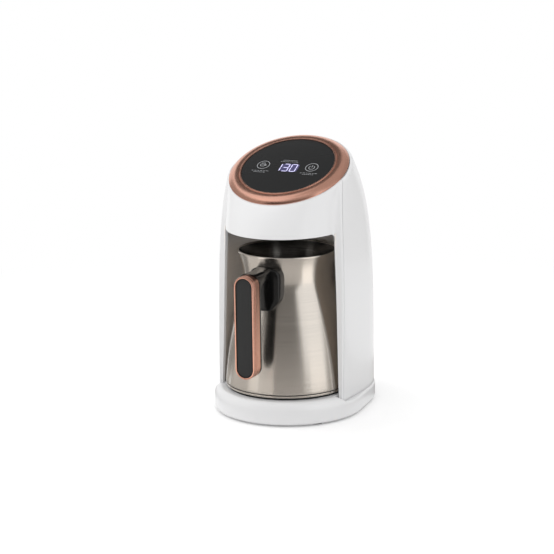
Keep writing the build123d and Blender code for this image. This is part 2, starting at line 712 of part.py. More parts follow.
def make_board_screws():
    """Four screws that hold the power board to the rack's pillars."""
    screws = []
    for x, z in pillar_places:
        head = lying_drum(SCREW_HEAD_R, board_face, board_face + SCREW_HEAD, z, x)
        screws.append(head + lying_drum(SCREW_R - FIT, rack_y + RACK_THICK + FIT, board_face, z, x))
    return Compound(screws)


def make_rack_screws():
    """Two screws that hold the rack's foot to the base."""
    screws = []
    foot_high = base_top + RACK_THICK
    for x, y in rack_screw_places:
        head = drum(SCREW_HEAD_R, foot_high, foot_high + SCREW_HEAD, x, y)
        screws.append(head + drum(SCREW_R, base_top - BASE_WALL / 2, foot_high, x, y))
    return Compound(screws)


def on_board(width, height, depth, x, row):
    """Block on the power board's face, its middle at x and its foot a row's height up the board."""
    low = board_z + row
    return slab((x - width / 2, x + width / 2), (board_face, board_face + depth), (low, low + height))


def make_power_bits():
    """Power board and the parts soldered to it."""
    half = POWER_BOARD_W / 2
    board = slab((-half, half), (board_y, board_face), (board_z, board_high_z))
    for x, z in pillar_places:
        board -= lying_drum(SCREW_R, board_y, board_face, z, x)
    node("power_board", board)
    relay_x, capacitor_x = -(RELAY_W + PART_GAP) / 2, (CAPACITOR_W + PART_GAP) / 2
    node("relay", on_board(RELAY_W, RELAY_H, RELAY_DEPTH, relay_x, RELAY_ROW))
    capacitor = on_board(CAPACITOR_W, CAPACITOR_H, CAPACITOR_DEPTH, capacitor_x, RELAY_ROW)
    node("filter_capacitor", fillet(capacitor.edges(), 1.0))
    transformer = on_board(TRANSFORMER_W, TRANSFORMER_H, TRANSFORMER_DEPTH, 0, TRANSFORMER_ROW)
    node("transformer", transformer)
    block = on_board(TERMINAL_W, TERMINAL_H, TERMINAL_DEPTH, 0, TERMINAL_ROW)
    bore_low = terminal_low + TERMINAL_H / 2
    for x in (-TERMINAL_PITCH, 0, TERMINAL_PITCH):
        bore_y = board_face + TERMINAL_DEPTH / 2
        block -= drum(TERMINAL_BORE_R, bore_low, bore_low + TERMINAL_H, x, bore_y)
    node("terminal_block", block)


def make_loom():
    """Ribbon from the underside of the control board down to the face of the power board."""
    start = panel_plane.from_local_coords((0, LOOM_V, BOARD_RISE))
    y, z = start.Y, start.Z
    foot_y = board_face + LOOM_THICK / 2
    drop_z = (z + board_high_z) / 2
    spine = [(y, z), (y, drop_z + foot_y - y), (foot_y, drop_z), (foot_y, board_high_z - RACK_BORDER)]
    near = [(a - LOOM_THICK / 2, b) for a, b in spine]
    far = [(a + LOOM_THICK / 2, b) for a, b in reversed(spine)]
    half = LOOM_WIDTH / 2
    ribbon = extrude(Plane.YZ * make_face(Polyline(*near, *far, close=True)), half, both=True)
    return ribbon - on_panel(slab((-2 * half, 2 * half), (0, 2 * LOOM_V), (BOARD_RISE, 0)))


# ---- jug --------------------------------------------------------------------------------------------------

shell_z = plate_z + JUG_BASE_THICK


def jug_profile(inset, low, high):
    """Half section of the jug: swelling cone from foot to neck, then a neck that flares to the rim."""
    foot, neck, rim = (JUG_FOOT_R - inset, low), (JUG_NECK_R - inset, neck_z), (JUG_RIM_R - inset, high)
    run, rise = neck[0] - foot[0], neck[1] - foot[1]
    length = hypot(run, rise)
    middle = ((foot[0] + neck[0]) / 2, (foot[1] + neck[1]) / 2)
    belly = (middle[0] + CONE_BELLY * rise / length, middle[1] - CONE_BELLY * run / length)
    waist = ((neck[0] + rim[0]) / 2 - NECK_WAIST, (neck[1] + rim[1]) / 2)
    cone, flare = ThreePointArc(foot, belly, neck), ThreePointArc(neck, waist, rim)
    return make_face([cone, flare, Polyline(rim, (0, high), (0, low), foot)])


def jug_form(inset, low, high):
    return revolve(Plane.XZ * jug_profile(inset, low, high), Axis.Z)


def make_jug():
    """Spun steel jug with a rolled lip, and the sandwich disc pressed onto its foot."""
    outer = jug_form(0, shell_z, rim_z - JUG_LIP_R)
    outer = fillet(outer.edges().sort_by(Axis.Z)[0], JUG_SEAM_R)
    shell = outer - jug_form(JUG_WALL, shell_z + JUG_FLOOR, rim_z - JUG_LIP_R)
    lip = Plane.XZ * Pos(JUG_RIM_R - JUG_LIP_R, rim_z - JUG_LIP_R) * Circle(JUG_LIP_R)
    shell += revolve(lip, Axis.Z)
    disc = fillet(drum(JUG_FOOT_R - 0.2, plate_z, shell_z).edges(), JUG_SEAM_R / 2)
    return shell, disc


# ---- handle -----------------------------------------------------------------------------------------------

bracket_r = JUG_NECK_R + BRACKET_DEPTH + 2.0
grip_low = arm_z - GRIP_LENGTH
grip_mid = (arm_z + grip_low) / 2
frame_back = -GRIP_REACH + GRIP_FRAME_DEPTH
core_back = frame_back + GRIP_CORE_DEPTH
bolt_z = arm_z - ARM_THICK / 2


def stadium(shrink, near, far):
    """Upright round-ended bar on the grip's axis, between two distances in front of the jug's axis."""
    bar = SlotOverall(GRIP_LENGTH - 2 * shrink, GRIP_WIDTH - 2 * shrink, rotation=90)
    return Pos(0, far, grip_mid) * extrude(Plane.XZ * bar, far - near)


def make_bracket():
    """Moulded bracket that hugs the neck: rounded top, chamfered lower corners, face round the jug."""
    half, low = BRACKET_WIDTH / 2, arm_z - BRACKET_HEIGHT
    lower = [(half, low + BRACKET_CHAMFER * 1.2), (half - BRACKET_CHAMFER, low)]
    outline = [(half, arm_z), *lower, *[(-x, z) for x, z in reversed(lower)], (-half, arm_z)]
    face = make_face(Polyline(*outline, close=True))
    face = fillet(face.vertices().group_by(Axis.Y)[-1], BRACKET_WIDTH / 3)
    block = extrude(Plane.XZ * face, 2 * bracket_r) & drum(bracket_r, 0, 2 * rim_z)
    front_edges = block.edges().filter_by(GeomType.LINE).filter_by(Axis.Z).group_by(Axis.Y)[0]
    block = fillet(front_edges, 2.0)
    block -= jug_form(-FIT, shell_z, rim_z - JUG_LIP_R)
    return block - lying_drum(SCREW_R + 0.5, -bracket_r - 1, -bracket_r + 5, bolt_z)


def make_core():
    """Arm and spine of the handle in one: the arm's underside arches down into the grip."""
    arm_low = arm_z - ARM_THICK
    arch_centre = (core_back + ARCH_R, arm_low - ARCH_R)
    middle = (arch_centre[0] - ARCH_R * cos(radians(45)), arch_centre[1] + ARCH_R * sin(radians(45)))
    start, end = (arch_centre[0], arm_low), (core_back, arch_centre[1])
    corners = [(frame_back, arch_centre[1]), (frame_back, arm_z), (-bracket_r, arm_z), (-bracket_r, arm_low)]
    profile = make_face([Polyline(end, *corners, start), ThreePointArc(start, middle, end)])
    arm = extrude(Plane.YZ * profile, ARM_WIDTH / 2, both=True)
    arm = fillet(arm.edges().filter_by(Axis.Y).group_by(Axis.Z)[-1], 3.0)
    arm = arm - drum(bracket_r + 0.05, 0, 2 * rim_z)
    face_y = -GRIP_REACH + INSERT_DEPTH
    core = stadium(0, frame_back, core_back) + stadium(GRIP_FRAME + FIT, face_y, core_back) + arm
    core -= lying_drum(SCREW_R + FIT, -GRIP_REACH, 0, bolt_z)
    return core - lying_drum(SCREW_HEAD_R + FIT, -GRIP_REACH, face_y + SCREW_HEAD + 0.6, bolt_z)


def make_trim():
    """Metal frame round the grip, its front edges softened."""
    bar = stadium(0, -GRIP_REACH, frame_back)
    bar = fillet(bar.faces().sort_by(Axis.Y)[0].edges(), 1.1)
    return bar - stadium(GRIP_FRAME, -GRIP_REACH - 1, frame_back + 1)


def make_insert():
    """Soft insert in the grip's face, slightly domed at its edge."""
    bar = stadium(GRIP_FRAME + FIT, -GRIP_REACH + 0.3, -GRIP_REACH + INSERT_DEPTH)
    return fillet(bar.faces().sort_by(Axis.Y)[0].edges(), 0.8)


def make_handle_screw():
    """Long screw under the insert, through the arm into the bracket."""
    head_far = -GRIP_REACH + INSERT_DEPTH + SCREW_HEAD + 0.6
    head = lying_drum(SCREW_HEAD_R, head_far - SCREW_HEAD, head_far, bolt_z)
    return head + lying_drum(SCREW_R, head_far, -bracket_r + 4.5, bolt_z)


# ---- assembly ---------------------------------------------------------------------------------------------


def main():
    os.makedirs("parts", exist_ok=True)
    front_frame, rear_housing = make_housing()
    node("front_frame", front_frame)
    node("rear_housing", rear_housing)
    node("base_housing", make_base())
    node("base_cover", make_base_cover())
    node("rubber_feet", make_feet())
    node("base_screws", make_base_screws())
    node("housing_screws", make_housing_screws())
    node("cord_gland", make_gland(rear_housing))
    node("hotplate", make_hotplate())
    node("hotplate_seal", make_hotplate_seal())
    node("heater_tray", make_heater_tray())
    node("heating_element", make_element())
    node("element_clamp", make_clamp())
    node("heater_leads", make_heater_leads())
    node("plate_thermostat", make_thermostat())
    node("thermal_fuse", make_fuse())
    node("bay_liner", make_liner())
    node("bay_ceiling", make_ceiling())
    node("foam_sensor", make_sensor())
    node("bezel_ring", make_bezel())
    node("control_panel", make_panel())
    node("panel_carrier", make_panel_carrier())
    make_panel_bits()
    node("panel_loom", make_loom())
    node("board_rack", make_rack())
    node("board_screws", make_board_screws())
    node("rack_screws", make_rack_screws())
    make_power_bits()
    jug_shell, jug_base = make_jug()
    node("jug_shell", jug_shell)
    node("jug_base", jug_base)
    node("handle_bracket", make_bracket())
    node("handle_core", make_core())
    node("handle_trim", make_trim())
    node("grip_insert", make_insert())
    node("handle_screw", make_handle_screw())
    box = Compound(list(nodes.values())).bounding_box()
    middle_y = (box.min.Y + box.max.Y) / 2
    for name, shape in nodes.items():
        export_step(Pos(0, -middle_y, 0) * shape, f"parts/{name}.step")


main()
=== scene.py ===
"""Dresses the packed coffee maker: moulded housing, touch panel, steel jug, handle, finishes and studio.

Every surface is worked out in metres round the jug's axis, with +Z up and the front towards -Y, and is
moved to the frame's own place of that axis when its mesh is made.
"""

import math
from types import SimpleNamespace

import bmesh
import bpy
import numpy as np
from mathutils import Matrix, Vector


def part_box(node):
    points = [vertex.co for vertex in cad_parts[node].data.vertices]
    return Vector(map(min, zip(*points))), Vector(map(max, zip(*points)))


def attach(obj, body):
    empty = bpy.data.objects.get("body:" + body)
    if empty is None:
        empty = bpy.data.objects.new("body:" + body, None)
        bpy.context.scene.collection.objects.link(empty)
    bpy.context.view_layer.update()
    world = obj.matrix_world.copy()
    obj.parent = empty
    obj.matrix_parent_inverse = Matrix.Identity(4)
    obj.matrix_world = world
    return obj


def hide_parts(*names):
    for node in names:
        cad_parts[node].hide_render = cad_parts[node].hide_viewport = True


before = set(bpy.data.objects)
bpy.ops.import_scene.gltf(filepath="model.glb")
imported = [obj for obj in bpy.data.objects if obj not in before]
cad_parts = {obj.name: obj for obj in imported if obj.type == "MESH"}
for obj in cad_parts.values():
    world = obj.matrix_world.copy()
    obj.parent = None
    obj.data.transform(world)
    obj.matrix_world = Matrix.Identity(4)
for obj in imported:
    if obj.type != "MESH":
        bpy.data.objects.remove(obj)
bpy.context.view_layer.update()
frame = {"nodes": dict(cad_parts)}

bl_info = {
    "name": "Coffee maker finishes",
    "version": (1, 0, 0),
    "blender": (4, 5, 0),
    "location": "View3D > Sidebar > Coffee maker",
    "description": "Surfaces, finishes and studio for a small coffee maker with a lift-out jug",
    "category": "Object",
}

MM = 0.001
AXIS_Y = (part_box("jug_base")[0].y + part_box("jug_base")[1].y) / 2
BASE_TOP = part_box("rear_housing")[0].z
SEAT_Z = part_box("base_housing")[1].z
PLATE_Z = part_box("hotplate")[1].z
RIM_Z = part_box("jug_shell")[1].z

MERGE = 1e-6  # points closer than this become one
EDGE_SOFT = 0.3 * MM  # rounding of the shells' cut edges and of the panel's edge
MIRROR = np.array([-1.0, 1.0, 1.0])  # turns a place's side to the other side
SPUN_COLUMNS = 160  # columns round the jug
CARD_LIFT = 2 * MM  # height of the level cards over the floor
CARD_WARMTH = 0.04  # share by which a card is redder, and less blue, than grey


# ---- settings ----


def length(label, millimetres, words):
    """A size in metres, written here in millimetres."""
    return bpy.props.FloatProperty(
        name=label, description=words, default=millimetres * MM, unit="LENGTH", precision=5
    )


def number(label, value, words):
    """A plain factor."""
    return bpy.props.FloatProperty(name=label, description=words, default=value, precision=4)


def angle(label, degrees, words):
    """An angle, written here in degrees."""
    return bpy.props.FloatProperty(
        name=label, description=words, default=math.radians(degrees), subtype="ANGLE"
    )


def colour(label, rgb, words):
    """A linear colour."""
    return bpy.props.FloatVectorProperty(
        name=label, description=words, default=rgb, subtype="COLOR", size=3, min=0.0, max=1.0
    )


class HousingSizes(bpy.types.PropertyGroup):
    """Form of the front frame and the rear housing."""

    hood: length("Hood edge", 140.7, "Height of the hood's lower edge")
    rim_front: length("Rim front", 164.5, "Height of the rim at the front")
    rim_back: length("Rim back", 207.8, "Height of the rim at the back")
    front: length("Front", -52.0, "Front of the form at the base")
    rear: length("Rear", 85.2, "Rear of the form at the base")
    rim_front_y: length("Rim front place", -36.1, "Front of the rim")
    rim_back_y: length("Rim back place", 47.3, "Back of the rim")
    front_power: number("Front curve", 5.4, "How late the front line leans back")
    rear_power: number("Rear curve", 4.6, "How late the rear line leans forward")
    tilt_power: number("Tilt curve", 6.0, "How late the sections tilt towards the rim")
    half: length("Half width", 55.3, "Half width at the base")
    taper: length("Taper", 5.8, "Half width lost on the way to the rim")
    bulge: length("Side bulge", 2.9, "Crease to the widest place, across, at the base")
    bulge_ease: length("Bulge ease", 1.3, "What the bulge loses towards the rim")
    bulge_growth: length("Bulge growth", 0.6, "What it gains again close to the rim")
    crease: length("Crease", -16.5, "Place of the crease at the base")
    crease_lean: length("Crease lean", 5.0, "How far the crease runs back on its way up")
    crease_sweep: length("Crease sweep", 7.0, "How far it sweeps back close to the rim")
    strip: length("Strip", 3.3, "Width of the strip beside the bay at the base")
    strip_growth: length("Strip growth", 3.0, "What the strip gains in the lower half")
    strip_fade: length("Strip fade", 5.7, "What the strip loses close to the rim")
    edge_set: length("Edge set", 0.6, "Strip's inner edge behind the crease")
    edge_sink: length("Edge sink", 6.0, "How far that edge runs forward beside the hood")
    trim: length("Trim", 0.3, "Opening's side inside the strip's own edge")
    hood_arch: length("Hood arch", 1.5, "How much higher the hood's edge ends than its middle")
    corner: length("Opening corner", 3.2, "Radius of the opening's upper corners")
    seam: length("Seam", 1.6, "Crease to the parting, round the side")
    gap: length("Parting gap", 0.1, "Gap between front frame and rear housing")
    crease_soft: length("Crease softness", 1.2, "Rounding of the crease, each way")
    valley_low: length("Valley at the opening", 2.0, "Half width of the valley beside the hood, low")
    valley_high: length("Valley at the rim", 8.0, "Half width of the valley beside the hood, high")
    rim_soft: length("Rim rounding", 1.7, "Rounding from the wall to the deck")
    groove_width: length("Groove width", 0.7, "Shadow groove round the bezel")
    groove_depth: length("Groove depth", 1.4, "Depth of the shadow groove")
    wall: length("Wall", 2.2, "Thickness of the moulding")
    gland_hole: length("Gland hole", 4.6, "Radius left open behind the bushing's flange")


class BaseSizes(bpy.types.PropertyGroup):
    """Form of the base moulding."""

    front_r: length("Front radius", 58.5, "Radius of the front round")
    front_y: length("Front centre", 2.1, "Centre of the front round")
    rear_r: length("Rear radius", 56.2, "Radius of the rear round")
    rear_y: length("Rear centre", 29.6, "Centre of the rear round")
    low: length("Underside", 1.5, "Height of the underside over the table")
    edge: length("Edge rounding", 1.8, "Rounding of the skirt's edges")
    seat_r: length("Seat radius", 51.7, "Radius where the shoulder meets the seat")
    disc_r: length("Disc radius", 50.0, "Radius of the raised seat inside the bay")
    hole_r: length("Hole radius", 45.85, "Radius of the hotplate's hole")
    wall: length("Wall", 2.4, "Thickness of the moulding")
    fade_from: length("Shoulder fades from", -21.0, "Place where the raised shoulder starts to end")
    fade_to: length("Shoulder ends", -13.0, "Place where the raised shoulder has ended")


class PanelSizes(bpy.types.PropertyGroup):
    """Bezel and touch panel."""

    ring_a: length("Bezel half width", 47.0, "Half width of the bezel across")
    ring_b: length("Bezel half length", 45.3, "Half length of the bezel up the slope")
    ring_lip: length("White lip", 0.7, "White edge left in front of the bezel")
    rise: length("Bezel rise", 4.2, "Crest of the bezel over the deck")
    panel_a: length("Panel half width", 36.4, "Half width of the panel")
    panel_thick: length("Panel thickness", 2.0, "Thickness of the panel")
    sink: length("Panel sink", 0.5, "Panel's face below the bezel's crest")
    lip: length("Bezel lip", 1.3, "Narrow lip of the bezel round the panel")
    fit: length("Fit", 0.15, "Clearance round the panel")
    well: length("Well", 41.4, "Half width of the well in the deck")
    digit_height: length("Digit height", 9.6, "Height of the lit digits")
    digit_width: length("Digit width", 5.0, "Width of a lit digit")
    digit_pitch: length("Digit pitch", 6.4, "Step from digit to digit")
    segment: length("Segment", 0.68, "Thickness of a lit segment")
    digit_u: length("Digits' middle", -0.6, "Middle of the digits, to the side")
    digit_v: length("Digits' height", -2.6, "Middle of the digits, up the slope")
    key_u: length("Key place", 20.2, "Middle of each touch key, to the side")
    key_v: length("Key height", -0.6, "Middle of each touch key, up the slope")
    key_r: length("Key radius", 4.9, "Radius of the ring round a key's icon")
    line: length("Line", 0.42, "Width of the printed lines")


class JugSizes(bpy.types.PropertyGroup):
    """Steel jug."""

    foot_r: length("Foot radius", 48.8, "Radius at the foot")
    neck_r: length("Neck radius", 34.3, "Radius at the neck")
    rim_r: length("Rim radius", 38.5, "Outer radius of the mouth")
    neck_rise: length("Neck height", 82.5, "Hotplate to the neck")
    wall: length("Wall", 0.9, "Sheet steel")
    base_thick: length("Foot disc", 3.2, "Thickness of the disc under the jug")
    foot_edge: length("Foot edge", 0.4, "Rounding of the shell's lower edge")
    foot_inset: length("Foot inset", 0.2, "Disc inside the shell's edge")
    # The groove and the step below take a near-black finish: painted shade of the gaps at the foot.
    foot_groove: length("Foot groove", 0.7, "Height of the dark groove over the disc")
    foot_step: length("Foot step", 1.0, "Height of the dark step under the disc")
    belly: length("Belly", 1.9, "How far the cone swells")
    waist: length("Waist", 1.5, "How far the neck draws in")
    neck_soft: length("Neck rounding", 2.2, "Rounding between cone and neck, each way")
    lip: length("Lip", 0.9, "Half the thickness of the rolled lip")


class HandleSizes(bpy.types.PropertyGroup):
    """Bracket, arm and grip."""

    reach: length("Reach", 75.6, "Jug's axis to the face of the grip")
    grip_length: length("Grip length", 77.7, "Length of the grip")
    grip_width: length("Grip width", 16.2, "Width of the grip")
    frame: length("Frame", 1.5, "Width of the metal frame")
    frame_depth: length("Frame depth", 10.2, "How far the frame wraps the grip's sides")
    core_depth: length("Core depth", 2.8, "Core that stands out behind the frame")
    insert_depth: length("Insert depth", 2.4, "Depth of the soft insert")
    arm_drop: length("Arm drop", 7.4, "Top of the arm below the jug's rim")
    arm_thick: length("Arm height", 9.0, "Height of the arm")
    arm_width: length("Arm width", 13.0, "Width of the arm")
    arch: length("Arch", 17.0, "Round under the arm")
    bracket_r: length("Bracket radius", 43.3, "Radius of the bracket's face about the jug")
    bracket_width: length("Bracket width", 25.0, "Width of the bracket")
    bracket_height: length("Bracket height", 33.0, "Height of the bracket")
    chamfer: length("Bracket chamfer", 7.0, "Cut at the bracket's lower corners")


class BaySizes(bpy.types.PropertyGroup):
    """Sheet wall round the jug."""

    radius: length("Radius", 50.2, "Half width at the base")
    taper: length("Taper", 4.0, "Half width lost towards the ceiling")
    ceiling: length("Ceiling", 142.5, "Height of the ceiling")
    thick: length("Sheet", 0.8, "Thickness of the sheet")
    nose_in: length("Nose", 0.7, "How far the front ends draw in")
    nose_y: length("Front end", -13.8, "Where the wall ends behind the front frame")


class Finishes(bpy.types.PropertyGroup):
    """Colours of the finishes."""

    white: colour("White", (0.76, 0.76, 0.765), "Gloss white moulding")
    rose: colour("Rose gold", (0.78, 0.43, 0.33), "Bezel and grip frame")
    steel: colour("Jug steel", (0.81, 0.755, 0.69), "Brushed steel of the jug")
    # Painted light: the bay's steel is pale and nearly matt, standing for the lit jug that it reflects.
    bay_steel_painted_light: colour("Bay steel", (0.93, 0.88, 0.83), "Brushed steel of the bay")
    glass: colour("Panel", (0.020, 0.0205, 0.021), "Black of the panel")
    black: colour("Black", (0.004, 0.004, 0.004), "Gloss black plastic")
    charcoal: colour("Charcoal", (0.015, 0.016, 0.017), "Soft insert")
    lit: colour("Lit digits", (0.55, 0.53, 0.76), "Display light")
    glow: colour("Glow", (0.05, 0.045, 0.13), "Faint light round the digits")
    print: colour("Print", (0.42, 0.43, 0.45), "Printed icons")


class StudioSettings(bpy.types.PropertyGroup):
    """Camera, lamps and backdrop."""

    swing: angle("Swing", 25.49933, "Camera to the right of straight ahead")
    height: angle("Height", 12.29818, "Camera above level")
    roll: angle("Roll", -0.75162, "Camera roll")
    distance: length("Distance", 1199.978, "Camera to the aim")
    aim_z: length("Aim height", 103.181, "Height of the aim")
    aim_side: length("Aim side", -7.9847, "Aim to the side of the jug's axis")
    focal: number("Focal length", 101.44, "Focal length in millimetres on a 36 mm sensor")
    world: number("World", 1.0, "Light of the surroundings")
    key: number("Key", 4.8, "Power of the key lamp in watts")
    fill: number("Fill", 0.4, "Power of the fill lamp in watts")
    top: number("Top", 0.6, "Power of the top lamp in watts")
    side: number("Side", 0.8, "Power of the lamp at the right in watts")
    floor_lift: number("Floor lift", 0.24, "Light of its own that the floor shows to the camera")
    fade_from: length("White from", 220.0, "Where the floor starts to turn plain white")
    fade_to: length("White to", 600.0, "Where the floor is plain white")


GROUPS = {
    "maker_housing": HousingSizes,
    "maker_base": BaseSizes,
    "maker_panel": PanelSizes,
    "maker_jug": JugSizes,
    "maker_handle": HandleSizes,
    "maker_bay": BaySizes,
    "maker_finish": Finishes,
    "maker_studio": StudioSettings,
}


def settings():
    """All settings of the scene, by group."""
    scene = bpy.context.scene
    return SimpleNamespace(**{key.removeprefix("maker_"): getattr(scene, key) for key in GROUPS})


# ---- mesh making ----


class Sheets:
    """Sheets of quads over grids of points, gathered into one mesh.

    A grid has its columns counter-clockwise, seen against the direction in which its rows advance, so that
    its faces point outwards. u runs along the columns and v along the rows.
    """

    def __init__(self):
        self.points, self.quads, self.uvs, self.finish = [], [], [], []
        self.count = 0

    def add(self, grid, around=False, looped=False, keep=None, finish=0):
        """Adds a grid of shape (rows, columns, 3). around joins the last column to the first, looped the last
        row to the first, and keep is a mask of the faces that stay."""
        rows, columns = grid.shape[:2]
        index = np.arange(rows * columns).reshape(rows, columns) + self.count
        v, u = np.mgrid[0 : rows + 1, 0 : columns + 1].astype(float)
        u, v = u / max(columns - (not around), 1), v / max(rows - (not looped), 1)
        if around:
            index = np.hstack([index, index[:, :1]])
        if looped:
            index = np.vstack([index, index[:1]])
        high, wide = index.shape

        def corners(table):
            table = table[:high, :wide]
            return np.stack([table[:-1, :-1], table[:-1, 1:], table[1:, 1:], table[1:, :-1]], axis=-1)

        quads = corners(index).reshape(-1, 4)
        uvs = np.stack([corners(u), corners(v)], axis=-1).reshape(-1, 4, 2)
        if keep is not None:
            quads, uvs = quads[keep.ravel()], uvs[keep.ravel()]
        self.points.append(grid.reshape(-1, 3))
        self.quads.append(quads)
        self.uvs.append(uvs)
        self.finish.append(np.full(len(quads), finish))
        self.count += rows * columns
        return self

    def mesh(self, name):
        """The mesh, with doubled points merged, so that seams and poles are closed."""
        points = np.vstack(self.points) + np.array([0.0, AXIS_Y, 0.0])
        quads = np.vstack(self.quads)
        mesh = bpy.data.meshes.new(name)
        mesh.from_pydata(points.tolist(), [], quads.tolist())
        layer = mesh.uv_layers.new(name="UVMap")
        layer.data.foreach_set("uv", np.vstack(self.uvs).ravel())
        mesh.polygons.foreach_set("material_index", np.concatenate(self.finish))
        work = bmesh.new()
        work.from_mesh(mesh)
        bmesh.ops.remove_doubles(work, verts=work.verts, dist=MERGE)
        loose = [vert for vert in work.verts if not vert.link_faces]
        bmesh.ops.delete(work, geom=loose, context="VERTS")
        work.to_mesh(mesh)
        work.free()
        mesh.shade_smooth()
        return mesh


def add_piece(name, sheets, body, slot, finishes, replaces=(), sharp=40.0, wall=0.0, soft=0.0):
    """Makes a piece of the sheets. wall thickens it inwards, soft rounds its sharp edges."""
    mesh = sheets.mesh(name)
    mesh.set_sharp_from_angle(angle=math.radians(sharp))
    piece = bpy.data.objects.new(name, mesh)
    bpy.context.scene.collection.objects.link(piece)
    for material in finishes:
        mesh.materials.append(material)
    if wall:
        thicken = piece.modifiers.new("Wall", "SOLIDIFY")
        thicken.thickness = wall
        thicken.offset = -1
        thicken.use_even_offset = True
        thicken.bevel_convex = 1.0 if soft else 0.0
    if soft:
        round_off = piece.modifiers.new("Soft edges", "BEVEL")
        round_off.width = soft
        round_off.segments = 2
        round_off.limit_method = "WEIGHT"
        weigh = piece.modifiers.new("Normals", "WEIGHTED_NORMAL")
        weigh.keep_sharp = True
    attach(piece, body)
    if replaces:
        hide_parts(*replaces)
    return piece


def dress(node, material):
    """Gives a node of the frame its finish."""
    mesh = frame["nodes"][node].data
    mesh.materials.clear()
    mesh.materials.append(material)


def spread(start, end, count, power=1.0):
    """Values from start to end, closer together near the start when power is over 1."""
    return start + (end - start) * np.linspace(0.0, 1.0, count) ** power


def bent(a, corner, b, steps=6):
    """Quadratic Bezier curve from a to b, pulled to the corner."""
    t = np.linspace(0.0, 1.0, steps)[:, None]
    return (1 - t) ** 2 * np.asarray(a) + 2 * t * (1 - t) * np.asarray(corner) + t**2 * np.asarray(b)


def bowed(a, b, bow, steps=24):
    """Shallow arc from a to b as a parabola that stands off the straight line by bow, to its right."""
    a, b = np.asarray(a, float), np.asarray(b, float)
    run = (b - a) / np.linalg.norm(b - a)
    t = np.linspace(0.0, 1.0, steps)[:, None]
    return a + (b - a) * t + 4 * bow * t * (1 - t) * np.array([run[1], -run[0]])


def soft_line(points, soft, steps=5, closed=False):
    """Straight runs between points, each corner rounded by a Bezier curve that starts soft before it."""
    points = [np.asarray(p, float) for p in points]
    count = len(points)
    line = []
    for k, corner in enumerate(points):
        if not closed and k in (0, count - 1):
            line.append(corner[None])
            continue
        before, after = points[k - 1] - corner, points[(k + 1) % count] - corner
        room = min(np.linalg.norm(before), np.linalg.norm(after)) * 0.49
        reach = min(soft if np.isscalar(soft) else soft[k], room)
        start = corner + before / np.linalg.norm(before) * reach
        end = corner + after / np.linalg.norm(after) * reach
        line.append(bent(start, corner, end, steps) if reach > 0 else corner[None])
    return np.vstack(line)


def spun(profile, count=128, squeeze=1.0):
    """Profile of radii and heights carried round the axis: x = r cos a, y = r squeeze sin a, z = height."""
    turn = np.linspace(0.0, 2 * math.pi, count, endpoint=False)
    x = profile[:, :1] * np.cos(turn)
    y = profile[:, :1] * np.sin(turn) * squeeze
    return np.stack([x, y, np.broadcast_to(profile[:, 1:2], x.shape)], axis=-1)


# ---- finishes ----


def grey(level):
    """A linear grey."""
    return (level, level, level)


def added(tree, kind, inputs=(), **options):
    """A new shader node with its options. Each of its inputs takes a value, or a link from a socket."""
    node = tree.nodes.new("ShaderNode" + kind)
    for label, value in options.items():
        setattr(node, label, value)
    for label, value in dict(inputs).items():
        if isinstance(value, bpy.types.NodeSocket):
            tree.links.new(value, node.inputs[label])
        else:
            node.inputs[label].default_value = value
    return node


def combined(tree, operation, first, second):
    """Two values, each a socket or a number, joined by an operation of the Math node."""
    return added(tree, "Math", {0: first, 1: second}, operation=operation).outputs[0]


def noise(tree, vector, scale, detail, rough=0.5):
    """Noise of 0..1 at the given coordinates."""
    inputs = {"Vector": vector, "Scale": scale, "Detail": detail, "Roughness": rough}
    return added(tree, "TexNoise", inputs).outputs["Fac"]


def stretch(tree, value, low, high):
    """Maps 0..1 to low..high, each a socket or a number."""
    return added(tree, "MapRange", {"Value": value, "To Min": low, "To Max": high}).outputs["Result"]


def finish_group(name, values, depth, brightest, bump_height, patterns):
    """A node group that puts out colour, roughness and normal, worked out from three patterns of 0..1.

    The first scales the colour, from 1 less the input named by depth up to brightest. The second carries the
    roughness from Roughness to that plus Patches. The third is a bump of the given height, times Ripple.
    values are the inputs and their defaults.
    """
    if name in bpy.data.node_groups:
        return bpy.data.node_groups[name]
    group = bpy.data.node_groups.new(name, "ShaderNodeTree")
    socket = group.interface.new_socket
    socket("Vector", in_out="INPUT", socket_type="NodeSocketVector")
    for label, value in values.items():
        kind = "Color" if label == "Color" else "Float"
        socket(label, in_out="INPUT", socket_type="NodeSocket" + kind).default_value = value
    for label, kind in (("Color", "Color"), ("Roughness", "Float"), ("Normal", "Vector")):
        socket(label, in_out="OUTPUT", socket_type="NodeSocket" + kind)
    enter = group.nodes.new("NodeGroupInput").outputs
    leave = group.nodes.new("NodeGroupOutput").inputs
    tone, patch, fine = patterns(group, enter)
    value = stretch(group, tone, combined(group, "SUBTRACT", 1.0, enter[depth]), brightest)
    shade = added(group, "HueSaturation", {"Value": value, "Color": enter["Color"]})
    roughest = combined(group, "ADD", enter["Roughness"], enter["Patches"])
    bump = added(group, "Bump", {"Distance": bump_height, "Strength": enter["Ripple"], "Height": fine})
    group.links.new(shade.outputs["Color"], leave["Color"])
    group.links.new(stretch(group, patch, enter["Roughness"], roughest), leave["Roughness"])
    group.links.new(bump.outputs["Normal"], leave["Normal"])
    return group


def moulded_finish():
    """Moulded plastic: a faint drift of tone, gloss that varies in soft patches, and a very fine ripple."""
    values = {"Color": (*grey(0.8), 1.0), "Drift": 0.02, "Roughness": 0.25, "Patches": 0.05}
    values |= {"Grain": 900.0, "Ripple": 0.05}

    def patterns(group, enter):
        scales = ((14.0, 2.0), (55.0, 4.0), (enter["Grain"], 2.0))
        return [noise(group, enter["Vector"], scale, detail) for scale, detail in scales]

    return finish_group("moulded_finish", values, "Drift", 1.0, 0.1 * MM, patterns)


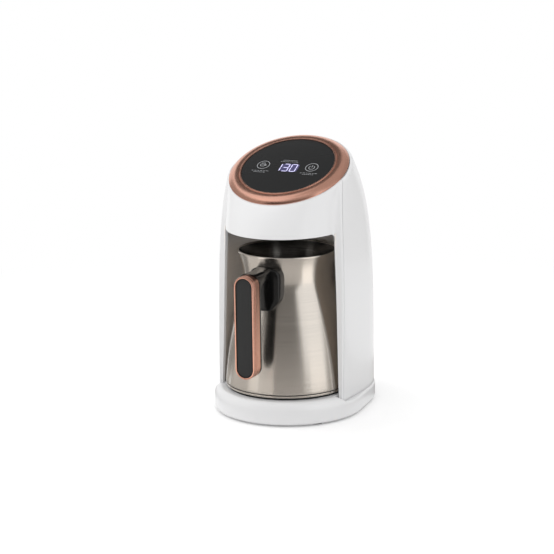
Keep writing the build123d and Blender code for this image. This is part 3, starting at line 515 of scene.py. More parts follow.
def brushed_finish():
    """Brushed metal: long fine lines along u, where the darker ones are rougher too and stand lower."""
    values = {"Color": (*grey(0.6), 1.0), "Depth": 0.12, "Roughness": 0.25, "Patches": 0.12}
    values |= {"Lines": 900.0, "Ripple": 0.02}

    def patterns(group, enter):
        scale = added(group, "CombineXYZ", {"X": 3.0, "Y": enter["Lines"]}).outputs[0]
        place = added(group, "VectorMath", {0: enter["Vector"], 1: scale}, operation="MULTIPLY")
        return [noise(group, place.outputs[0], 1.0, 5.0, 0.65)] * 3

    return finish_group("brushed_finish", values, "Depth", 1.04, 0.05 * MM, patterns)


def finish(name, group, coordinates, color, values=None, shader=None):
    """A material whose colour, roughness and normal come from a finish group. values go to the group's
    inputs, and shader to the shader's own sockets."""
    if name in bpy.data.materials:
        return bpy.data.materials[name]
    material = bpy.data.materials.new(name)
    material.use_nodes = True
    tree = material.node_tree
    surface = tree.nodes["Principled BSDF"].inputs
    place = added(tree, "TexCoord").outputs[coordinates]
    inputs = {"Vector": place, "Color": (*color, 1.0), **(values or {})}
    effect = added(tree, "Group", inputs, node_tree=group).outputs
    for label, target in (("Color", "Base Color"), ("Roughness", "Roughness"), ("Normal", "Normal")):
        tree.links.new(effect[label], surface[target])
    for label, value in (shader or {}).items():
        surface[label].default_value = value
    material.diffuse_color = (*color, 1.0)
    return material


def plastic(name, color, rough=0.45, **values):
    """Moulded plastic of a colour and a roughness, with other values for its finish group."""
    return finish(name, moulded_finish(), "Object", color, {"Roughness": rough, **values})


def white_moulding():
    """Gloss white shell, with a clear coat's sharper gloss over it."""
    values = {"Roughness": 0.30, "Patches": 0.04, "Drift": 0.012, "Ripple": 0.03}
    shader = {"Specular IOR Level": 0.5, "Coat Weight": 0.25, "Coat Roughness": 0.08}
    return finish("white_moulding", moulded_finish(), "Object", settings().finish.white, values, shader)


def rose_gold():
    """Satin rose-gold plating."""
    values = {"Roughness": 0.22, "Patches": 0.08, "Drift": 0.05, "Ripple": 0.02, "Grain": 1500.0}
    return finish("rose_gold", moulded_finish(), "Object", settings().finish.rose, values, {"Metallic": 1.0})


def gloss_black():
    """Gloss black plastic of bracket and arm."""
    values = {"Roughness": 0.16, "Patches": 0.06, "Ripple": 0.02}
    shader = {"Specular IOR Level": 0.35}
    return finish("gloss_black", moulded_finish(), "Object", settings().finish.black, values, shader)


def brushed_steel(name, color, rough, lines, depth=0.12, metal=1.0):
    """Steel brushed along u, so that its reflections are drawn out across the lines."""
    values = {"Roughness": rough, "Patches": 0.4 * rough, "Lines": lines, "Depth": depth}
    shader = {"Metallic": metal, "Anisotropic": 0.8, "Anisotropic Rotation": 0.25}
    material = finish(name, brushed_finish(), "UV", color, values, shader)
    tree = material.node_tree
    tangent = added(tree, "Tangent", direction_type="UV_MAP").outputs[0]
    tree.links.new(tangent, tree.nodes["Principled BSDF"].inputs["Tangent"])
    return material


def lit(name, color, strength):
    """Plastic that gives light of its own, for the display."""
    material = plastic(name, color, rough=0.5)
    surface = material.node_tree.nodes["Principled BSDF"].inputs
    surface["Emission Color"].default_value = (*color, 1.0)
    surface["Emission Strength"].default_value = strength
    return material


# ---- housing ----


def section(share):
    """The housing's section at each share of the way up.

    Its plane goes through a height on the front line and one on the back line. The front line stays upright
    and leans back with a high power of the share; the back line, the width and the strips follow powers too.
    """
    h = settings().housing
    front_z = BASE_TOP + (h.rim_front - BASE_TOP) * share
    back_z = front_z + (h.rim_back - h.rim_front) * share**h.tilt_power
    s = SimpleNamespace(share=share)
    s.front = h.front + (h.rim_front_y - h.front) * share**h.front_power
    rise_back = (back_z - BASE_TOP) / (h.rim_back - BASE_TOP)
    s.rear = h.rear + (h.rim_back_y - h.rear) * rise_back**h.rear_power
    s.slope = (back_z - front_z) / (s.rear - s.front)
    s.level = front_z - s.front * s.slope
    s.cosine = np.cos(np.arctan(s.slope))
    rim_slope = (h.rim_back - h.rim_front) / (h.rim_back_y - h.rim_front_y)
    rise = (s.level - BASE_TOP) / (h.rim_front - h.rim_front_y * rim_slope - BASE_TOP)
    gentle, firm, steep, steepest = 3, 6, 8, 10
    regained = 0.8 * rise**firm
    s.half = h.half - h.taper * rise**gentle
    s.crease_x = s.half - h.bulge + h.bulge_ease * rise - h.bulge_growth * rise**steep
    s.crease_y = h.crease + h.crease_lean * rise + h.crease_sweep * rise**steep
    growth = h.strip_growth * (1 - (1 - rise) ** gentle)
    s.edge_x = s.crease_x - h.strip - growth + h.strip_fade * rise**steepest
    s.edge_y = s.crease_y + h.edge_set - h.edge_sink * rise**gentle * (1 - regained)
    s.turn = s.rear - s.half * s.cosine
    sagitta = (s.edge_y - s.front) / s.cosine
    s.arc_r = (s.edge_x**2 + sagitta**2) / (2 * sagitta)
    s.arc_angle = np.arctan2(s.edge_x, s.arc_r - sagitta)
    s.arc = s.arc_r * s.arc_angle
    s.strip = np.hypot(s.crease_x - s.edge_x, (s.crease_y - s.edge_y) / s.cosine)
    return s


def side_line(s, run):
    """Side of a section: a parabola that leaves the crease and is widest at the turn, run metres on."""
    k = run / (s.turn - s.crease_y)
    return s.crease_x + (s.half - s.crease_x) * (1 - (1 - k) ** 2), s.crease_y + run


def front_line(s, u):
    """Right half of a section's front, by the distance u from the strip's inner edge.

    u above 0 runs in along the hood's arc, a circle in the section's plane. u below 0 runs out over the
    straight strip to the crease and on round the side.
    """
    along = np.clip(-u / s.strip, 0.0, 1.0)
    strip_x = s.edge_x + along * (s.crease_x - s.edge_x)
    strip_y = s.edge_y + along * (s.crease_y - s.edge_y)
    side_x, side_y = side_line(s, np.maximum(-u - s.strip, 0.0))
    past = -u > s.strip
    x, y = np.where(past, side_x, strip_x), np.where(past, side_y, strip_y)
    theta = s.arc_angle - np.maximum(u, 0.0) / s.arc_r
    arc_x, arc_y = s.arc_r * np.sin(theta), s.front + s.arc_r * (1 - np.cos(theta)) * s.cosine
    return np.stack([np.where(u > 0, arc_x, x), np.where(u > 0, arc_y, y)])


def soft_front(s, u):
    """The front line with its two corners softened: within a width of the valley beside the hood, and of the
    crease, the point slides along a Bezier curve from one side of the corner to the other."""
    h = settings().housing
    lift = np.clip((s.level - h.hood) / (h.rim_front - h.hood), 0.0, 1.0)
    widest = 0.8 * s.strip
    valley = np.minimum(h.valley_low + (h.valley_high - h.valley_low) * lift, widest)
    place = front_line(s, u)
    for corner, width in ((np.zeros_like(s.strip), valley), (-s.strip, h.crease_soft)):
        t = (u - corner + width) / (2 * width)
        a, b, c = (front_line(s, (corner + step * width) * np.ones_like(u)) for step in (-1, 0, 1))
        curve = (1 - t) ** 2 * a + 2 * t * (1 - t) * b + t**2 * c
        place = np.where((t > 0) & (t < 1), curve, place)
    return place


def lifted(s, place):
    """Points of a section's plane in space."""
    x, y = place
    return np.stack([x, y, s.level + y * s.slope], axis=-1)


def share_at_height(height, u_of):
    """Share at which the front reaches a height, by a few of Newton's steps. u_of gives u for a section."""
    h = settings().housing
    share = (height - BASE_TOP) / (h.rim_front - BASE_TOP)

    def reached(value):
        s = section(value)
        return lifted(s, soft_front(s, u_of(s)))[..., 2]

    small, rounds = 1e-4, 5
    for _ in range(rounds):
        now = reached(share)
        share = share - (now - height) * small / (reached(share + small) - now)
    return np.clip(share, 0.0, 1.0)


def corner_shift(across, above, radius):
    """How the grid moves, across and up, to round the opening's corner.

    across is the distance past the opening's side, above the height over the hood's edge. A point on the
    outline moves to the corner's quarter circle, and the move fades out inside the material.
    """
    t = np.clip(np.maximum(across, 0) + np.maximum(-above, 0), 0, radius)
    phi = math.pi / 4 * (1 - t / radius)
    near, far = radius * (1 - np.cos(phi)), radius * np.sin(phi) - radius + t
    beside = above < 0
    fade, fade_across, fade_up = 1.0, 1.3 * radius, 1.6 * radius
    for inside, reach in ((-across, fade_across), (above, fade_up)):
        fade = fade * (1 - np.clip(np.maximum(inside, 0) / reach, 0, 1)) ** 2
    return np.where(beside, near, -far) * fade, np.where(beside, far, -near) * fade


def deck_place(place, half_width):
    """Point on an oval of the bezel's proportions, in the direction of a place on the rim."""
    p, deck = settings().panel, panel_frame()
    local = place - deck.centre
    u, v = local[..., 0], local @ deck.up
    squeeze = p.ring_b / p.ring_a
    turn = np.arctan2(v / squeeze, u)
    across, along = half_width * np.cos(turn), half_width * squeeze * np.sin(turn)
    return on_deck(np.stack([across, along, np.zeros_like(across)], axis=-1))


def rim_rows(wall_of, rim, steps=6):
    """Rows over the rim: a Bezier curve from the wall to the deck, then the deck in to the panel's well.

    Round the bezel the deck has a narrow groove, whose outer side stays inside the rounding. Distances run
    from the rim straight towards the well.
    """
    h, p = settings().housing, settings().panel
    well_margin, under_bezel, lean, land = 0.8 * MM, 0.6 * MM, 0.05 * MM, 0.05 * MM
    inner = deck_place(rim, p.well + well_margin)
    span = np.linalg.norm(inner - rim, axis=-1, keepdims=True)
    inward, drop = (inner - rim) / span, -panel_frame().out
    start, end = wall_of, rim + inward * h.rim_soft
    t = np.linspace(0.0, 1.0, steps)[1:, None, None]
    curve = (1 - t) ** 2 * start + 2 * t * (1 - t) * rim + t**2 * end
    bezel = deck_place(rim, p.ring_a)
    edge = np.sum((bezel - rim) * inward, axis=-1, keepdims=True)
    mouth = np.maximum(edge - h.groove_width, h.rim_soft + land)
    foot = mouth + h.groove_width + under_bezel
    groove = [(mouth, 0), (mouth + lean, 1), (foot, 1), (foot + lean, 0)]
    rows = groove + [(0.5 * (foot + span), 0), (span, 0)]
    return np.vstack([curve, [rim + inward * away + drop * (h.groove_depth * deep) for away, deep in rows]])


def front_frame_sheet():
    """Hood and strips as one grid over columns across the front and rows upwards.

    Columns 0..1 cross the hood from its middle to the opening's side, 1..2 the strip to the crease, 2..3 the
    narrow return to the parting. The lower rows belong to the strips, and their faces under the hood drop
    out. Close to the opening's corner both run denser.
    """
    h = settings().housing
    hood_share, dense, dense_low, dense_high = 0.84, 0.12, 0.06, 0.25
    hood = 1 - np.concatenate([spread(1.0, dense, 34), spread(dense, 0.0, 16)[1:]])
    column = np.concatenate([hood, spread(1.0, 2.0, 22)[1:], spread(2.0, 3.0, 3)[1:]])

    def distance(s, c):
        on_hood = (s.arc + h.trim) * (1 - c) - h.trim
        on_strip = -h.trim - (s.strip - h.trim) * (c - 1)
        return np.where(c < 1, on_hood, np.where(c < 2, on_strip, -s.strip - h.seam * (c - 2)))

    near = spread(0.0, dense_low, 12)
    low = np.concatenate([1 - spread(1.0, dense_low, 40), (1 - near[::-1])[1:]])
    tall = np.concatenate([spread(0.0, dense_high, 12, 1.3), spread(dense_high, 1.0, 26)[1:]])
    c = column[None, :]
    mid = section(np.array([[hood_share]]))
    across = distance(mid, c) + h.trim

    def shifted(above):
        move_u, move_z = corner_shift(*np.broadcast_arrays(across, above), h.corner)
        return (lambda s: distance(s, c) + move_u), move_z

    edge = h.hood + h.hood_arch * np.minimum(c, 1.0) ** 2
    above = (low[:, None] - 1) * (edge - BASE_TOP)
    u_low, move = shifted(above)
    share = share_at_height(edge + above + move, u_low)
    lower = section(share)
    lower_rows = lifted(lower, soft_front(lower, u_low(lower)))

    above = tall[:, None] * (h.rim_front - edge)
    u_high, move = shifted(above)
    start = share_at_height(edge + move, u_high)
    stop = 1 - h.rim_soft / (h.rim_front - BASE_TOP)
    upper = section(start + (stop - start) * tall[:, None])
    upper_rows = lifted(upper, soft_front(upper, u_high(upper)))
    rim_section = section(np.array([[1.0]]))
    rim = lifted(rim_section, soft_front(rim_section, distance(rim_section, c)))[0]
    rows = np.vstack([lower_rows, upper_rows[1:], rim_rows(upper_rows[-1], rim)])

    grid = np.concatenate([rows[:, :0:-1] * MIRROR, rows], axis=1)
    keep = np.ones((grid.shape[0] - 1, grid.shape[1] - 1), bool)
    open_columns = int(np.sum(column < 1))
    middle = len(column) - 1
    keep[: len(low) - 1, middle - open_columns : middle + open_columns] = False
    return grid, keep


def rear_housing_sheet():
    """Rear shell: columns from the right parting round the back to the left one, rows from base to rim.

    A column is a point of a parabola as far as the turn, and of an ellipse in the section's plane behind it.
    """
    h = settings().housing
    stop = 1 - h.rim_soft / (h.rim_front - BASE_TOP)
    crowding = 1.25
    share = 1 - (1 - np.linspace(0.0, 1.0, 76)) ** crowding
    k, beta = spread(0.0, 1.0, 26, crowding), np.linspace(0.0, math.pi / 2, 46)[1:]

    def rows_at(s):
        begin = h.seam + h.gap
        run = begin + (s.turn - s.crease_y - begin) * k[None, :]
        side = lifted(s, np.stack(side_line(s, run)))
        back_x, back_y = s.half * np.cos(beta), s.turn + (s.rear - s.turn) * np.sin(beta)
        return np.concatenate([side, lifted(s, np.stack([back_x, back_y]))], axis=1)

    body = rows_at(section(share[:, None] * stop))
    rim = rows_at(section(np.array([[1.0]])))[0]
    rows = np.vstack([body, rim_rows(body[-1], rim)])
    return np.concatenate([rows, rows[:, -2::-1] * MIRROR], axis=1)


def add_shell(name, sheets, node):
    """Adds a gloss white shell of the housing, thickened inwards, that stands for a node."""
    shell = {"wall": settings().housing.wall, "soft": EDGE_SOFT}
    add_piece(name, sheets, "machine", "white_shell", [white_moulding()], (node,), **shell)


def gland_clear(grid, radius):
    """Mask of the faces that stay clear of the round hole behind the gland's flange."""
    low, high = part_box("cord_gland")
    middle_z = (low.z + high.z) / 2
    centre = (grid[:-1, :-1] + grid[1:, 1:]) / 2
    away = np.hypot(centre[..., 0], centre[..., 2] - middle_z)
    return (away > radius) | (centre[..., 1] < 0)


class COFFEE_OT_front_frame(bpy.types.Operator):
    """Make the front frame: hood, strips beside the bay and the front of the deck."""

    bl_idname = "coffee.front_frame"
    bl_label = "Front frame"

    def execute(self, context):
        grid, keep = front_frame_sheet()
        add_shell("front_frame_skin", Sheets().add(grid, keep=keep), "front_frame")
        return {"FINISHED"}


class COFFEE_OT_rear_housing(bpy.types.Operator):
    """Make the egg-shaped rear housing with the back of the deck."""

    bl_idname = "coffee.rear_housing"
    bl_label = "Rear housing"

    def execute(self, context):
        grid = rear_housing_sheet()
        keep = gland_clear(grid, settings().housing.gland_hole)
        add_shell("rear_housing_skin", Sheets().add(grid, keep=keep), "rear_housing")
        return {"FINISHED"}


# ---- base ----


def base_columns():
    """Columns round the base: centre, radius and direction on two rounds joined by their tangents."""
    b = settings().base
    at_rear, at_joint, at_front = 72, 12, 100
    lean = math.asin((b.front_r - b.rear_r) / (b.rear_y - b.front_y))
    left, right = math.pi - lean, 2 * math.pi + lean
    rear, front = np.linspace(lean, left, at_rear), np.linspace(left, right, at_front)
    joint = np.linspace(0.0, 1.0, at_joint + 2)[1:-1]
    turn = np.concatenate([rear, np.full(at_joint, left), front, np.full(at_joint, right)])
    share = np.concatenate([np.ones(at_rear), 1 - joint, np.zeros(at_front), joint])
    centre = b.front_y + (b.rear_y - b.front_y) * share
    radius = b.front_r + (b.rear_r - b.front_r) * share
    return centre, radius, turn


def base_sheet():
    """Skirt, shoulder and seat as one closed band.

    The skirt rises upright, then turns over like a quarter of an ellipse. In front the ellipse reaches up to
    the seat, and behind the fade only to the base's top.
    """
    b = settings().base
    step = 3 * MM
    centre, radius, turn = base_columns()
    across, ahead = np.cos(turn), np.sin(turn)
    outer_y = centre + radius * ahead
    fade = np.clip((b.fade_to - outer_y) / (b.fade_to - b.fade_from), 0, 1)
    raised = fade * fade * (3 - 2 * fade)
    foot = BASE_TOP - b.edge
    theta = np.linspace(0.0, math.pi / 2, 22)[:, None]
    fold = 1 - np.cos(theta)
    inset = fold * (raised * (b.front_r - b.seat_r) + (1 - raised) * b.edge)
    height = foot + np.sin(theta) * (raised * (SEAT_Z - foot) + (1 - raised) * b.edge)
    middle = centre * (1 - raised * fold)
    over = np.stack([(radius - inset) * across, middle + (radius - inset) * ahead, height], axis=-1)

    def ring(depth, z):
        flat = np.stack([(radius - depth) * across, centre + (radius - depth) * ahead], axis=-1)
        return np.concatenate([flat, np.full((len(turn), 1), z)], axis=-1)

    low = bent((b.edge, b.low), (0, b.low), (0, b.low + b.edge), 6)
    skirt = [ring(b.wall, b.low)] + [ring(d, z) for d, z in low] + [ring(0, foot - step)]
    polar = np.arctan2(over[-1, :, 1], over[-1, :, 0])
    inner = np.stack([b.disc_r * np.cos(polar), b.disc_r * np.sin(polar), over[-1, :, 2]], axis=-1)
    under = inner - np.array([0, 0, b.wall])
    back = [ring(b.wall, BASE_TOP - b.wall)]
    return np.concatenate([np.stack(skirt), over, inner[None], under[None], np.stack(back)])


class COFFEE_OT_base(bpy.types.Operator):
    """Make the base moulding: skirt with its rounded front shoulder, and the raised seat in the bay."""

    bl_idname = "coffee.base"
    bl_label = "Base"

    def execute(self, context):
        b = settings().base
        low = BASE_TOP - b.wall
        disc = [(b.hole_r, low), (b.disc_r, low), (b.disc_r, SEAT_Z), (b.hole_r, SEAT_Z)]
        sheets = Sheets().add(base_sheet(), around=True, looped=True)
        sheets.add(spun(np.array(disc)), around=True, looped=True)
        finishes = [white_moulding()]
        add_piece("base_skin", sheets, "machine", "white_shell", finishes, ("base_housing",), sharp=35)
        return {"FINISHED"}


# ---- panel ----


def panel_frame():
    """The slanted deck: the bezel's centre, the direction up the slope and the one off the deck."""
    h, p = settings().housing, settings().panel
    front = np.array([0.0, h.rim_front_y, h.rim_front])
    back = np.array([0.0, h.rim_back_y, h.rim_back])
    up = (back - front) / np.linalg.norm(back - front)
    return SimpleNamespace(
        centre=front + up * (p.ring_b + p.ring_lip), up=up, out=np.array([0.0, -up[2], up[1]])
    )


def on_deck(grid):
    """Moves points drawn flat, round the panel's middle, onto the slanted deck."""
    f = panel_frame()
    u, v, w = grid[..., :1], grid[..., 1:2], grid[..., 2:3]
    return f.centre + u * np.array([1.0, 0, 0]) + v * f.up + w * f.out


class COFFEE_OT_bezel(bpy.types.Operator):
    """Make the bezel: a broad convex band, a fine groove and a narrow lip round the panel."""

    bl_idname = "coffee.bezel"
    bl_label = "Bezel"

    def execute(self, context):
        p = settings().panel
        swell, edge, foot, shoulder = 1.1 * MM, 0.6 * MM, 1.6 * MM, 1.8 * MM
        groove_out, groove_in, bevel, soft = 0.55 * MM, 0.2 * MM, 0.1 * MM, 0.22 * MM
        band_drop, groove_drop = 0.35 * MM, 0.75 * MM
        inner, crest = p.panel_a + p.fit, p.panel_a + p.lip + p.fit
        under = p.rise - p.sink - p.panel_thick + 2 * p.fit
        band_in, band_out = (crest + groove_out, p.rise - band_drop), (p.ring_a, edge)
        band = bowed(band_out, band_in, swell, 30)
        groove = [band_in, (crest + groove_in, p.rise - groove_drop), (crest, p.rise - bevel)]
        lip = [(inner + bevel, p.rise), (inner, under), (p.well + shoulder, under)]
        line = soft_line(groove + lip + [(p.ring_a - foot, 0), (p.ring_a, 0), band_out], soft, 4)
        profile = np.vstack([band[:-1], line[:-1]])
        sheets = Sheets().add(on_deck(spun(profile, 180, p.ring_b / p.ring_a)), around=True, looped=True)
        add_piece("bezel_skin", sheets, "machine", "rose_metal", [rose_gold()], ("bezel_ring",))
        return {"FINISHED"}


class COFFEE_OT_panel(bpy.types.Operator):
    """Make the black touch panel with its softened edge."""

    bl_idname = "coffee.panel"
    bl_label = "Touch panel"

    def execute(self, context):
        p = settings().panel
        face, low = p.rise - p.sink, p.rise - p.sink - p.panel_thick
        corners = [(0, low), (p.panel_a, low), (p.panel_a, face), (0, face)]
        plate = spun(soft_line(corners, EDGE_SOFT), 144, p.ring_b / p.ring_a)
        sheets = Sheets().add(on_deck(plate), around=True)
        values, shader = {"Roughness": 0.24, "Patches": 0.03, "Ripple": 0.0}, {"Specular IOR Level": 0.3}
        glass = finish("panel_face", moulded_finish(), "Object", settings().finish.glass, values, shader)
        add_piece("panel_skin", sheets, "machine", "panel_glass", [glass], ("control_panel",))
        return {"FINISHED"}


SEGMENTS = {
    "top": ((0, 1), (1, 1)),
    "high_left": ((0, 0.5), (0, 1)),
    "high_right": ((1, 0.5), (1, 1)),
    "middle": ((0, 0.5), (1, 0.5)),
    "low_left": ((0, 0), (0, 0.5)),
    "low_right": ((1, 0), (1, 0.5)),
    "bottom": ((0, 0), (1, 0)),
}
DIGITS = {
    "1": ("high_right", "low_right"),
    "3": ("top", "high_right", "middle", "low_right", "bottom"),
    "0": ("top", "high_left", "high_right", "low_left", "low_right", "bottom"),
}


def bar(start, end, thick, gap):
    """Six-sided bar with pointed ends between two places, as a grid of two rows of three points."""
    start, end = np.asarray(start, float), np.asarray(end, float)
    run = (end - start) / np.linalg.norm(end - start)
    side = np.array([-run[1], run[0]]) * thick / 2
    a, b = start + run * gap, end - run * gap
    a_in, b_in = a + run * thick / 2, b - run * thick / 2
    low = np.stack([a, a_in - side, b_in - side, b])
    return np.stack([low, np.stack([a, a_in + side, b_in + side, b])])


def stroke(path, width):
    """Line of a width along a path of points: two rows, half the width to each side."""
    path = np.asarray(path, float)
    run = np.gradient(path, axis=0)
    run /= np.linalg.norm(run, axis=1, keepdims=True)
    side = np.stack([-run[:, 1], run[:, 0]], axis=1) * width / 2
    return np.stack([path - side, path + side])


def ring_path(centre, radius, start=0.0, end=360.0, count=49):
    """Points on a circle between two angles."""
    turn = np.radians(np.linspace(start, end, count))
    return np.stack([centre[0] + radius * np.cos(turn), centre[1] + radius * np.sin(turn)], axis=1)


def at_height(flat, height):
    """Flat points with a height."""
    return np.concatenate([flat, np.full(flat.shape[:-1] + (1,), height)], axis=-1)


def cup_lines(p):
    """Cup with an ear and three wisps of steam, in shares of the key's radius. Each path comes with its
    share of the line's width, as in the functions below."""
    r, rim, foot, tall = p.key_r, 0.42, 0.28, 0.5
    u, v = -p.key_u - 0.1 * r, p.key_v - 0.35 * r
    bowl = [(u + a * r, v + b * r) for a, b in ((-rim, tall), (-foot, 0), (foot, 0), (rim, tall))]
    ear = ring_path((u + rim * r, v + 0.28 * r), 0.16 * r, -75, 90, 13)
    rise = np.linspace(0, 1, 9)
    wisp = np.stack([0.05 * r * np.sin(rise * 6.3), 0.32 * r * rise], axis=1)
    steam = [(wisp + [u + 0.2 * r * k, v + 0.62 * r], 0.7) for k in (-1, 0, 1)]
    return [(soft_line(bowl, 0.12 * r, 4), 1.0), ([bowl[0], bowl[-1]], 1.0), (ear, 1.0), *steam]


def power_lines(p):
    """Open ring with a stroke through its gap, in shares of the key's radius."""
    r = p.key_r
    ring = ring_path((p.key_u, p.key_v - 0.06 * r), 0.46 * r, 125, 415, 33)
    return [(ring, 1.0), ([(p.key_u, p.key_v), (p.key_u, p.key_v + 0.55 * r)], 1.0)]


def dashes(u, v, half, count):
    """A row of printed dashes, in place of words, short and long by turns."""
    row, short, longer = [], 0.55, 0.25
    for k in range(count):
        middle = u + half * ((2 * k + 1) / count - 1)
        reach = half / count * (short + longer * (k % 2))
        row.append(([(middle - reach, v), (middle + reach, v)], 0.9))
    return row


def printed_lines(p):
    """All printed lines of the panel: rings round the keys, icons, and dashes under keys and digits."""
    r, lines = p.key_r, []
    for u in (-p.key_u, p.key_u):
        lines.append((ring_path((u, p.key_v), r), 1.0))
        for drop, half in ((1.55, 1.5), (1.9, 1.0)):
            lines += dashes(u, p.key_v - r * drop, half * r, 6)
    lines += cup_lines(p) + power_lines(p)
    for rise, half in ((0.78, 1.15), (0.95, 0.95)):
        lines += dashes(p.digit_u, p.digit_v + rise * p.digit_height, half * p.digit_pitch, 8)
    return lines


def glow_rows(p):
    """Rows that shrink to one place beside the digits' middle, from an oval whose places across and up are
    a low power of the cosine and the sine, so that it is nearly a rectangle."""
    power, drawn_in = 0.35, 0.86
    half = np.array([1.3 * p.digit_pitch, 0.6 * p.digit_height])
    middle = np.array([p.digit_u + 0.5 * p.digit_pitch, p.digit_v])
    turn = np.linspace(0, 2 * math.pi, 64, endpoint=False)
    edge = np.stack([np.cos(turn), np.sin(turn)], axis=1)
    edge = np.sign(edge) * np.abs(edge) ** power * half * drawn_in
    return np.stack([middle + edge * k for k in np.linspace(1.0, 0.0, 8)])


class COFFEE_OT_marks(bpy.types.Operator):
    """Make the lit digits, their faint glow, and the printed icons and dashes of the panel."""

    bl_idname = "coffee.marks"
    bl_label = "Panel marks"

    def execute(self, context):
        p, colours = settings().panel, settings().finish
        face = p.rise - p.sink
        over_digits, over_print, over_glow, gap = 0.03 * MM, 0.02 * MM, 0.012 * MM, 0.12 * MM
        digits, prints = Sheets(), Sheets()
        size = np.array([p.digit_width - p.segment, p.digit_height - p.segment])
        for place, digit in zip((-1, 0, 1), "130"):
            corner = np.array([p.digit_u + place * p.digit_pitch, p.digit_v]) - size / 2
            for part in DIGITS[digit]:
                a, b = (corner + np.array(end) * size for end in SEGMENTS[part])
                digits.add(on_deck(at_height(bar(a, b, p.segment, gap), face + over_digits)))
        digits.add(on_deck(at_height(glow_rows(p), face + over_glow)), around=True, finish=1)
        lights = [lit("display_light", colours.lit, 0.8), lit("display_glow", colours.glow, 0.2)]
        add_piece("display_digits", digits, "machine", "panel_glass", lights)
        for path, width in printed_lines(p):
            prints.add(on_deck(at_height(stroke(path, width * p.line), face + over_print)))
        add_piece("panel_print", prints, "machine", "panel_glass", [plastic("print_ink", colours.print)])
        return {"FINISHED"}


# ---- bay ----


class COFFEE_OT_bay(bpy.types.Operator):
    """Make the steel wall round the jug, and finish ceiling, sensor, hotplate and seal.

    The wall's plan is half a circle with a leg at each end, and draws in evenly on the way up.
    """

    bl_idname = "coffee.bay"
    bl_label = "Bay"

    def execute(self, context):
        y = settings().bay
        z = np.linspace(BASE_TOP, y.ceiling, 40)[:, None]
        half = y.radius - y.taper * (z - BASE_TOP) / (y.ceiling - BASE_TOP)
        k = np.linspace(0.0, 1.0, 8)[None, :-1]
        leg_x, leg_y = half - y.nose_in * (1 - k), y.nose_y * (1 - k) * np.ones_like(half)
        turn = np.linspace(0.0, math.pi, 73)[None, :]
        x = np.concatenate([leg_x, half * np.cos(turn), -leg_x[:, ::-1]], axis=1)
        depth = np.concatenate([leg_y, half * np.sin(turn), leg_y[:, ::-1]], axis=1)
        grid = np.stack([x, depth, np.broadcast_to(z, x.shape)], axis=-1)[:, ::-1]
        # Painted light: the bay's wall is pale, nearly matt steel, standing for the lit jug that it reflects.
        tone = settings().finish.bay_steel_painted_light
        steel = brushed_steel("bay_brushed", tone, rough=0.38, lines=260.0, metal=0.05)
        sheets = Sheets().add(grid)
        add_piece("bay_wall", sheets, "machine", "bay_steel", [steel], ("bay_liner",), wall=y.thick)
        dress("bay_ceiling", plastic("ceiling_black", grey(0.012), rough=0.4, Ripple=0.2))
        dress("foam_sensor", plastic("lens_face", (0.01, 0.008, 0.012), rough=0.08))
        dress("hotplate", plate_coating())
        dress("hotplate_seal", plastic("seal_silicone", (0.02, 0.02, 0.021), rough=0.6, Ripple=0.3))
        return {"FINISHED"}


def plate_coating():
    """Dark coated aluminium of the hotplate."""
    values = {"Roughness": 0.42, "Patches": 0.15, "Drift": 0.2, "Ripple": 0.25, "Grain": 1200.0}
    return finish("plate_coating", moulded_finish(), "Object", grey(0.10), values, {"Metallic": 0.8})


# ---- jug ----


def jug_wall(inset, low, high):
    """Side of the jug from low to high: swelling cone, soft neck, flared rim, moved in by inset."""
    j = settings().jug
    neck_z = PLATE_Z + j.neck_rise
    foot, neck = np.array([j.foot_r - inset, low]), np.array([j.neck_r - inset, neck_z])
    rim = np.array([j.rim_r - inset, high])
    cone = bowed(foot, neck, j.belly, 60)
    flare = bowed(neck, rim, -j.waist, 30)
    cone = cone[cone[:, 1] < neck_z - j.neck_soft]
    flare = flare[flare[:, 1] > neck_z + j.neck_soft]
    return np.vstack([cone, bent(cone[-1], neck, flare[0], 9)[1:-1], flare])


def jug_profile():
    """Half section of the jug in two runs that meet at the lip: from under the foot up outside and over the
    rolled lip, and then down inside to the middle of the floor."""
    j = settings().jug
    low, top = PLATE_Z + j.base_thick, RIM_Z - j.lip
    edge = j.foot_edge
    foot = bent((j.foot_r - edge, low), (j.foot_r, low), (j.foot_r, low + edge), 6)
    wall = jug_wall(0.0, low + edge, top)
    turn = np.linspace(0.0, math.pi, 13)[1:, None]
    lip = np.hstack([j.rim_r - j.lip + j.lip * np.cos(turn), top + j.lip * np.sin(turn)])
    floor = low + j.wall
    heel_rise, heel_run, heel_pull = 6 * MM, 7 * MM, 0.6 * MM
    inside = jug_wall(2 * j.lip, floor + heel_rise, top)[::-1]
    wall_r = inside[-1, 0]
    heel = bent(inside[-1], (wall_r + heel_pull, floor), (wall_r - heel_run, floor), 9)
    outside = np.vstack([[(0.0, low)], foot[:-1], wall, lip])
    return outside, np.vstack([lip[-1:], inside[1:], heel[1:], [(0.0, floor)]])


def jug_radius(z):
    """Outer radius of the jug at a height."""
    j = settings().jug
    wall = jug_wall(0.0, PLATE_Z + j.base_thick, RIM_Z)
    return np.interp(z, wall[:, 1], wall[:, 0])


